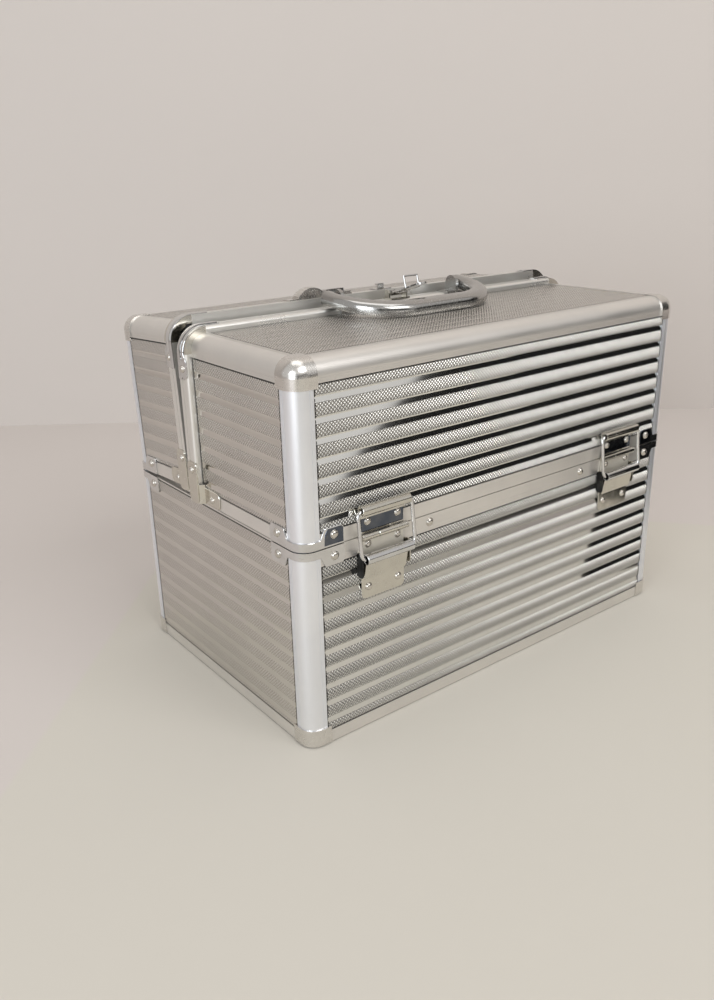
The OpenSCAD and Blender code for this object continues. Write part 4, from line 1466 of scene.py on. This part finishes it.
@dataclass
class FrontLatches:
    """Draw latches: hooded keeper, wire bail, rolled lever and riveted base plate."""

    maker: Maker
    palette: Palette
    keeper_z: float = 158.0
    keeper_out: float = 3.8
    hook: float = 3.0
    lever_z: float = 127.0
    lever_out: float = 7.6
    roll: float = 3.0
    roll_half: float = 19.0
    flap_half: float = 17.2
    flap_low: float = 111.0
    plate_half: float = 17.2
    base_half: float = 17.6
    base_low: float = 96.5
    wing_half: float = 20.1
    wing_low: float = 113.0
    wing_high: float = 130.0
    bail_half: float = 21.8
    wire: float = 1.3
    knuckle: float = 2.4
    sheet: float = 0.9

    def plate(
        self,
        half: float,
        low: float,
        high: float,
        corner: float,
        out: float,
        back: float = 0.15,
        bevel: float = 0.2,
    ) -> Patch:
        """A flat plate on the front, standing a little off it.

        Args:
            half: Half its width.
            low: Its lower edge.
            high: Its upper edge.
            corner: Radius of its corners.
            out: Distance of its outer face from the front.
            back: Distance of its inner face.
            bevel: Width of its softened edges.

        Returns:
            The closed grid.
        """
        return on_face(slab(rounded_box_outline(-half, half, low, high, corner), back, out, bevel))

    def strip(self, curve: Array, half: float | Array) -> Patch:
        """Bent sheet on the front.

        Args:
            curve: Rows of out and up.
            half: Half its width, one value or one for each row.

        Returns:
            The closed grid.
        """
        x, out, up = np.moveaxis(ribbon(curve, self.sheet, half, 0.22).points, -1, 0)
        return Patch(np.stack([x, -out, up], -1), close_v=True)

    def hood(self) -> Patch:
        """The head of the lid's plate: a straight neck, then a circle over the bail.

        Returns:
            The closed grid.
        """
        neck = np.array([[0.9, 152.0], [0.95, 156.0], [1.1, 158.2]])
        curl = arc((self.keeper_out + 0.1, self.keeper_z + 0.2), self.hook, 165, -95, 22)
        return self.strip(np.concatenate([neck, curl]), self.roll_half + 0.5)

    def barrel_roll(self) -> Patch:
        """The lever's head, rolled round the bail's lower bar."""
        return self.strip(arc((self.lever_out, self.lever_z), self.roll, 200, -140, 30), self.roll_half)

    def flap(self) -> list[Patch]:
        """The flap that hangs from the roll's inner side, and the lip where it starts.

        Returns:
            The flap's and the lip's closed grids.
        """
        line = np.column_stack([np.linspace(5.7, 3.05, 8), np.linspace(124.6, self.flap_low, 8)])
        skirt = self.strip(line, np.concatenate([np.full(7, self.flap_half), [self.flap_half - 0.6]]))
        lip = arc((self.lever_out - 0.4, self.lever_z - 0.3), self.roll - 0.2, 215, 262, 6)
        return [skirt, self.strip(lip, self.flap_half + 0.2)]

    def bail(self) -> Patch:
        """The wire loop from the keeper's hood down to the lever's roll.

        Returns:
            The closed grid.
        """
        ends = ((self.keeper_out, self.keeper_z), (self.lever_out, self.lever_z))
        (top_out, top), (low_out, low) = ends
        b = self.bail_half
        corners = np.array([[-b, -top_out, top], [b, -top_out, top], [b, -low_out, low], [-b, -low_out, low]])
        return wire_loop(rounded_loop(corners, 4.6, 8), self.wire, 14)

    def base(self) -> list[Patch]:
        """The body's plate under the lever, and its wider part beside it."""
        low = self.plate(self.base_half, self.base_low, 124.0, 3.2, 1.2, bevel=0.25)
        return [low, self.plate(self.wing_half, self.wing_low, self.wing_high, 2.0, self.sheet, 0.1)]

    def leaf(self) -> list[Patch]:
        """The leaf of the lid's hinge over the latch's base plate."""
        return [self.plate(self.plate_half, 122.5, 137.6, 0.8, 1.3), self.fold(-1)]

    def ear(self, x: float, reach: float) -> Patch:
        """One ear beside the lever.

        Args:
            x: Its left face.
            reach: Distance of its edge from the front.

        Returns:
            The closed grid.
        """
        outline = rounded_box_outline(-0.5, reach, self.wing_low, self.wing_high, 2.4)
        out, up, across = np.moveaxis(slab(outline, 0, 0.8, 0.15).points, -1, 0)
        return Patch(np.stack([x + across, -out, up], -1), close_v=True)

    def barrel(self, x0: float, x1: float) -> Patch:
        """A hinge knuckle.

        Args:
            x0: Its left end.
            x1: Its right end.

        Returns:
            The closed grid.
        """
        r, run, soft = self.knuckle, x1 - x0, 0.3
        profile = [[0, 0], [r - soft, 0], [r, soft], [r, run - soft], [r - soft, run], [0, run]]
        return revolve(np.array(profile), (x0, -SIZES.hinge_out, SIZES.body_h), "x", 20)

    def fold(self, sign: int) -> Patch:
        """The turn from a leaf to its knuckle, above the joint for 1 and below it for -1."""
        z = SIZES.body_h
        line = np.array([[0.7, z + sign * 3.2], [0.9, z + sign * 2.6], [1.6, z + sign * 2.1]])
        return self.strip(line, self.plate_half)

    def build(self) -> None:
        """Makes both latches."""
        p = self.palette
        keepers, bases = "front_latch_keepers", "front_latch_bases"
        head = [self.plate(self.plate_half, 142.6, 157.5, 0.8, 1.2)]
        hood = [self.hood(), self.barrel(-5.2, 19), self.fold(1)]
        base = [*self.base(), self.barrel(-19, -5.5), self.ear(19.3, 5.0)]
        # The left ear is coloured black as painted shadow beside the lever; the right ear is plain latch
        # steel.
        shadow = [self.ear(-self.wing_half, 5.9)]
        for side, word, bail, lever in (
            (-1, "left", Body.BAIL_LEFT, Body.LEVER_LEFT),
            (1, "right", Body.BAIL_RIGHT, Body.LEVER_RIGHT),
        ):
            for name, patches, finish, body, node in (
                # The keeper plates are coloured dark as painted reflection.
                ("latch_keeper_plate", head, p.painted_reflection_plate, Body.FRONT, keepers),
                ("latch_hood", hood, p.latch, Body.FRONT, keepers),
                ("latch_base_plate", base, p.latch, Body.CASE, bases),
                ("latch_hinge_leaf", self.leaf(), p.leaf, Body.CASE, bases),
                ("latch_shadow_ear", shadow, p.painted_shadow_cheek, Body.CASE, bases),
                ("latch_wire", [self.bail()], p.chrome, bail, f"latch_bail_{word}"),
                ("latch_roll", [self.barrel_roll()], p.chrome, lever, f"latch_lever_{word}"),
                ("latch_flap", self.flap(), p.latch, lever, f"latch_lever_{word}"),
            ):
                moved = [shift(patch, side * SIZES.latch_x) for patch in patches]
                piece = self.maker.piece(f"{name}_{word}", moved, finish, body, Slot.CHROME, Place.FRONT)
                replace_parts(piece, node)


# ------------------------------------------------------------------ frame finishes
@dataclass
class FrameFinishes:
    """Gives each CAD node that stays in view its own finish."""

    nodes: dict[str, bpy.types.Object]
    palette: Palette

    def choose(self, name: str) -> bpy.types.Material:
        """Picks a node's finish from its name.

        Args:
            name: The node's name.

        Returns:
            The finish of the first word found in the name, or else chrome.
        """
        p = self.palette
        if name.endswith("_tray"):
            return p.tray
        for word, finish in (
            ("board", p.lining),
            ("posts", p.satin[Grain.ALONG_Z]),
            ("seam_rail", p.polished_rail),
            ("rails", p.satin[Grain.ALONG_X]),
            ("tray_arms", p.satin[Grain.NONE]),
            ("caps", p.cap),
            ("housing", p.cap),
            ("handle_feet", p.polished),
            ("centre_latch_lever", p.polished),
            ("hinge", p.latch),
            ("centre_latch_base", p.latch),
            ("seam_corners", p.latch),
        ):
            if word in name:
                return finish
        return p.chrome

    def dress(self) -> None:
        """Assigns the finishes."""
        for name, obj in self.nodes.items():
            obj.data.materials.clear()
            obj.data.materials.append(self.choose(name))
            LOG.info("%s: finished", name)


# ------------------------------------------------------------------ stage
@dataclass
class Studio:
    """Plain pale floor and backdrop, soft lamps and the camera.

    Places are in metres from the middle of the case's foot, angles in degrees.
    """

    camera_at: Point = (-0.44631, -0.51560, 0.35800)
    yaw: float = 37.278
    pitch: float = -20.719
    roll: float = -1.4556
    lens: float = 32.07
    floor_half: float = 6.0
    wall_away: float = 0.62
    wall_half: float = 5.0
    wall_high: float = 4.0
    flag_z: float = 0.16

    def sight(self) -> Matrix:
        """The camera's placement.

        Its forward direction follows from yaw and pitch. Its right and up directions
        are then turned about that by the roll.

        Returns:
            The camera's world matrix.
        """
        yaw, pitch, roll = (math.radians(v) for v in (self.yaw, self.pitch, self.roll))
        ahead = Vector((math.sin(yaw) * math.cos(pitch), math.cos(yaw) * math.cos(pitch), math.sin(pitch)))
        right = Vector((math.cos(yaw), -math.sin(yaw), 0.0))
        up = right.cross(ahead)
        c, s = math.cos(roll), math.sin(roll)
        right, up = right * c + up * s, up * c - right * s
        turned = Matrix((right, up, -ahead)).transposed().to_4x4()
        return Matrix.Translation(self.camera_at) @ turned

    def camera(self) -> None:
        """Makes the camera at the photograph's place."""
        data = bpy.data.cameras.new("camera")
        data.lens = self.lens
        data.sensor_width = 36.0
        data.clip_start = 0.01
        obj = bpy.data.objects.new("camera", data)
        obj.matrix_world = self.sight()
        bpy.context.scene.collection.objects.link(obj)
        bpy.context.scene.camera = obj

    def lamp(
        self, name: str, at: Point, aim_z: float, size: tuple[float, float], power: float, tint: Colour
    ) -> None:
        """A soft rectangular lamp.

        Args:
            name: Its name.
            at: Its place.
            aim_z: Height over the origin that it points at.
            size: Its width and height.
            power: Its power in watts.
            tint: Its colour.
        """
        data = bpy.data.lights.new(name, "AREA")
        data.shape = "RECTANGLE"
        data.size, data.size_y = size
        data.energy = power
        data.color = tint
        obj = bpy.data.objects.new(name, data)
        look = (Vector((0.0, 0.0, aim_z)) - Vector(at)).to_track_quat("-Z", "Y")
        obj.matrix_world = Matrix.Translation(at) @ look.to_matrix().to_4x4()
        bpy.context.scene.collection.objects.link(obj)

    def sheet(
        self, name: str, points: list[Point], faces: list, finish: bpy.types.Material
    ) -> bpy.types.Object:
        """A sheet of the stage.

        Args:
            name: Its name.
            points: Its corners.
            faces: Corner numbers of each face.
            finish: Its material.

        Returns:
            The new object.
        """
        mesh = bpy.data.meshes.new(name)
        mesh.from_pydata(points, [], faces)
        mesh.materials.append(finish)
        obj = bpy.data.objects.new(name, mesh)
        bpy.context.scene.collection.objects.link(obj)
        return obj

    def wall_finish(self) -> bpy.types.Material:
        """A pale wall with a faint unevenness, which is clear when seen from behind."""
        g = Graph("pale_wall")
        tone = (0.62, 0.578, 0.545)
        cloud = g.noise(g.coords(), 3.0, 3.0)
        g.set(Base_Color=g.mix(cloud, tone, toned(tone, 0.97)), Roughness=0.7, Specular_IOR_Level=0.2)
        clear = g.tree.nodes.new("ShaderNodeBsdfTransparent")
        behind = g.tree.nodes.new("ShaderNodeNewGeometry").outputs["Backfacing"]
        both = g.tree.nodes.new("ShaderNodeMixShader")
        g.link(behind, both.inputs[0])
        g.link(g.shader.outputs[0], both.inputs[1])
        g.link(clear.outputs[0], both.inputs[2])
        g.link(both.outputs[0], g.output.inputs["Surface"])
        return g.material

    def table(self) -> bpy.types.Material:
        """The floor's finish: a pale table top that gives way to the wall's tone behind.

        The change runs along two straight lines. The distance to each is the dot
        product of the place with the line's unit normal, less the line's own offset.

        Returns:
            The material.
        """
        g = Graph("pale_floor")
        at = g.coords()
        x, y, _ = g.split(at)
        left_line, right_line = (-0.7379, 0.6749, 0.2415), (0.7831, 0.6219, 0.2379)
        sharpness = 250.0
        past = []
        for nx, ny, offset in (left_line, right_line):
            along = g.math("ADD", g.math("MULTIPLY", x, nx), g.math("MULTIPLY", y, ny))
            past.append(g.math("MULTIPLY", g.math("SUBTRACT", along, offset), sharpness, clamp=True))
        beyond = g.math("MAXIMUM", *past)
        cloud = g.noise(at, 3.0, 3.0)
        top = g.mix(cloud, (0.60, 0.57, 0.515), (0.58, 0.55, 0.49))
        behind = g.mix(beyond, top, (0.595, 0.55, 0.52))
        g.set(Base_Color=behind, Roughness=0.7, Specular_IOR_Level=0.2)
        return g.material

    def flag(self, name: str, marks: list[Point], reach: float) -> None:
        """A dark screen that stands round the case, which only reflections show.

        Args:
            name: Its name.
            marks: Rows of bearing from +X, lower and upper elevation, in degrees.
            reach: Its distance.
        """
        turn, low, high = np.radians(np.array(marks)).T
        x, y = reach * np.cos(turn), reach * np.sin(turn)
        rows = [np.stack([x, y, self.flag_z + reach * np.tan(edge)], -1) for edge in (low, high)]
        points = np.stack(rows, 1)
        points[..., 2] = points[..., 2].clip(0.005)
        g = Graph(f"{name}_cloth")
        black = g.mix(g.noise(g.coords(), 2.0), (0.012, 0.013, 0.014), (0.02, 0.02, 0.02))
        g.set(Base_Color=black, Roughness=1.0, Specular_IOR_Level=0.0)
        faces = Patch(points).faces().tolist()
        obj = self.sheet(name, points.reshape(-1, 3).tolist(), faces, g.material)
        obj.visible_camera = False
        obj.visible_shadow = False
        obj.visible_diffuse = False

    def world(self) -> None:
        """A plain pale world."""
        world = bpy.data.worlds.new("studio")
        bpy.context.scene.world = world
        world.use_nodes = True
        back = world.node_tree.nodes["Background"]
        back.inputs["Color"].default_value = (0.68, 0.665, 0.65, 1.0)
        back.inputs["Strength"].default_value = 0.90

    def flags(self) -> None:
        """Stands the dark screens whose reflections stripe the grooves."""
        bearings = (-64, -58, -52, -46, -40, -34, -20, 0, 20)
        tops = (1, 7, 11, 15, 20, 24, 30, 30, 22)
        self.flag("right_flag", [(at, -2, top) for at, top in zip(bearings, tops)], 2.6)
        bearings, tops = (-46, -42, -38, -30, -22), (-19, -4, 4, 7, 4)
        self.flag("edge_flag", [(at, -25, top) for at, top in zip(bearings, tops)], 0.42)
        self.flag("front_flag", [(-128, 3, 14), (-95, 4, 17), (-68, 4, 15)], 2.2)
        self.flag("near_flag", [(-133, -6, 18), (-122, -6, 22)], 1.6)

    def backdrop(self) -> None:
        """Lays the floor and stands the wall across the camera's view behind the case."""
        f = self.floor_half
        self.sheet("floor", [(-f, -f, 0), (f, -f, 0), (f, f, 0), (-f, f, 0)], [(0, 1, 2, 3)], self.table())
        turn = math.radians(self.yaw)
        ahead = Vector((math.sin(turn), math.cos(turn), 0))
        aside = Vector((ahead.y, -ahead.x, 0)) * self.wall_half
        a, b = ahead * self.wall_away - aside, ahead * self.wall_away + aside
        points = [(*b.xy, self.wall_high), (*a.xy, self.wall_high), (*a.xy, 0), (*b.xy, 0)]
        self.sheet("wall", points, [(0, 1, 2, 3)], self.wall_finish())

    def build(self) -> None:
        """Sets the stage."""
        self.camera()
        self.backdrop()
        self.flags()
        self.lamp("key_lamp", (0.2, -2.0, 1.9), 0.12, (1.8, 1.2), 24, (1.0, 0.99, 0.98))
        self.lamp("top_lamp", (0.1, 0.1, 2.6), 0.15, (2.0, 1.6), 14, (1.0, 0.99, 0.97))
        self.lamp("left_lamp", (-2.1, -1.0, 0.75), 0.12, (1.2, 1.3), 22, (0.88, 0.94, 1.0))
        self.world()
        bpy.context.scene.view_settings.view_transform = "Standard"


def corners(box: object) -> list[list[float]]:
    """A bounding box as plain lists of numbers."""
    return [[float(v) for v in corner] for corner in box]


def main() -> None:
    """Builds every piece in order."""
    logging.basicConfig(level=logging.INFO, format="%(message)s")
    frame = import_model()
    Studio().build()
    palette = Palette().build()
    maker = Maker()
    FrameFinishes(frame["nodes"], palette).dress()
    EmbossedSheets(maker, palette).build()
    Rivets(maker, palette).build()
    Brackets(maker, palette).build()
    FrontLatches(maker, palette).build()
    Handle(maker, palette).build()


if __name__ == "__main__":
    main()
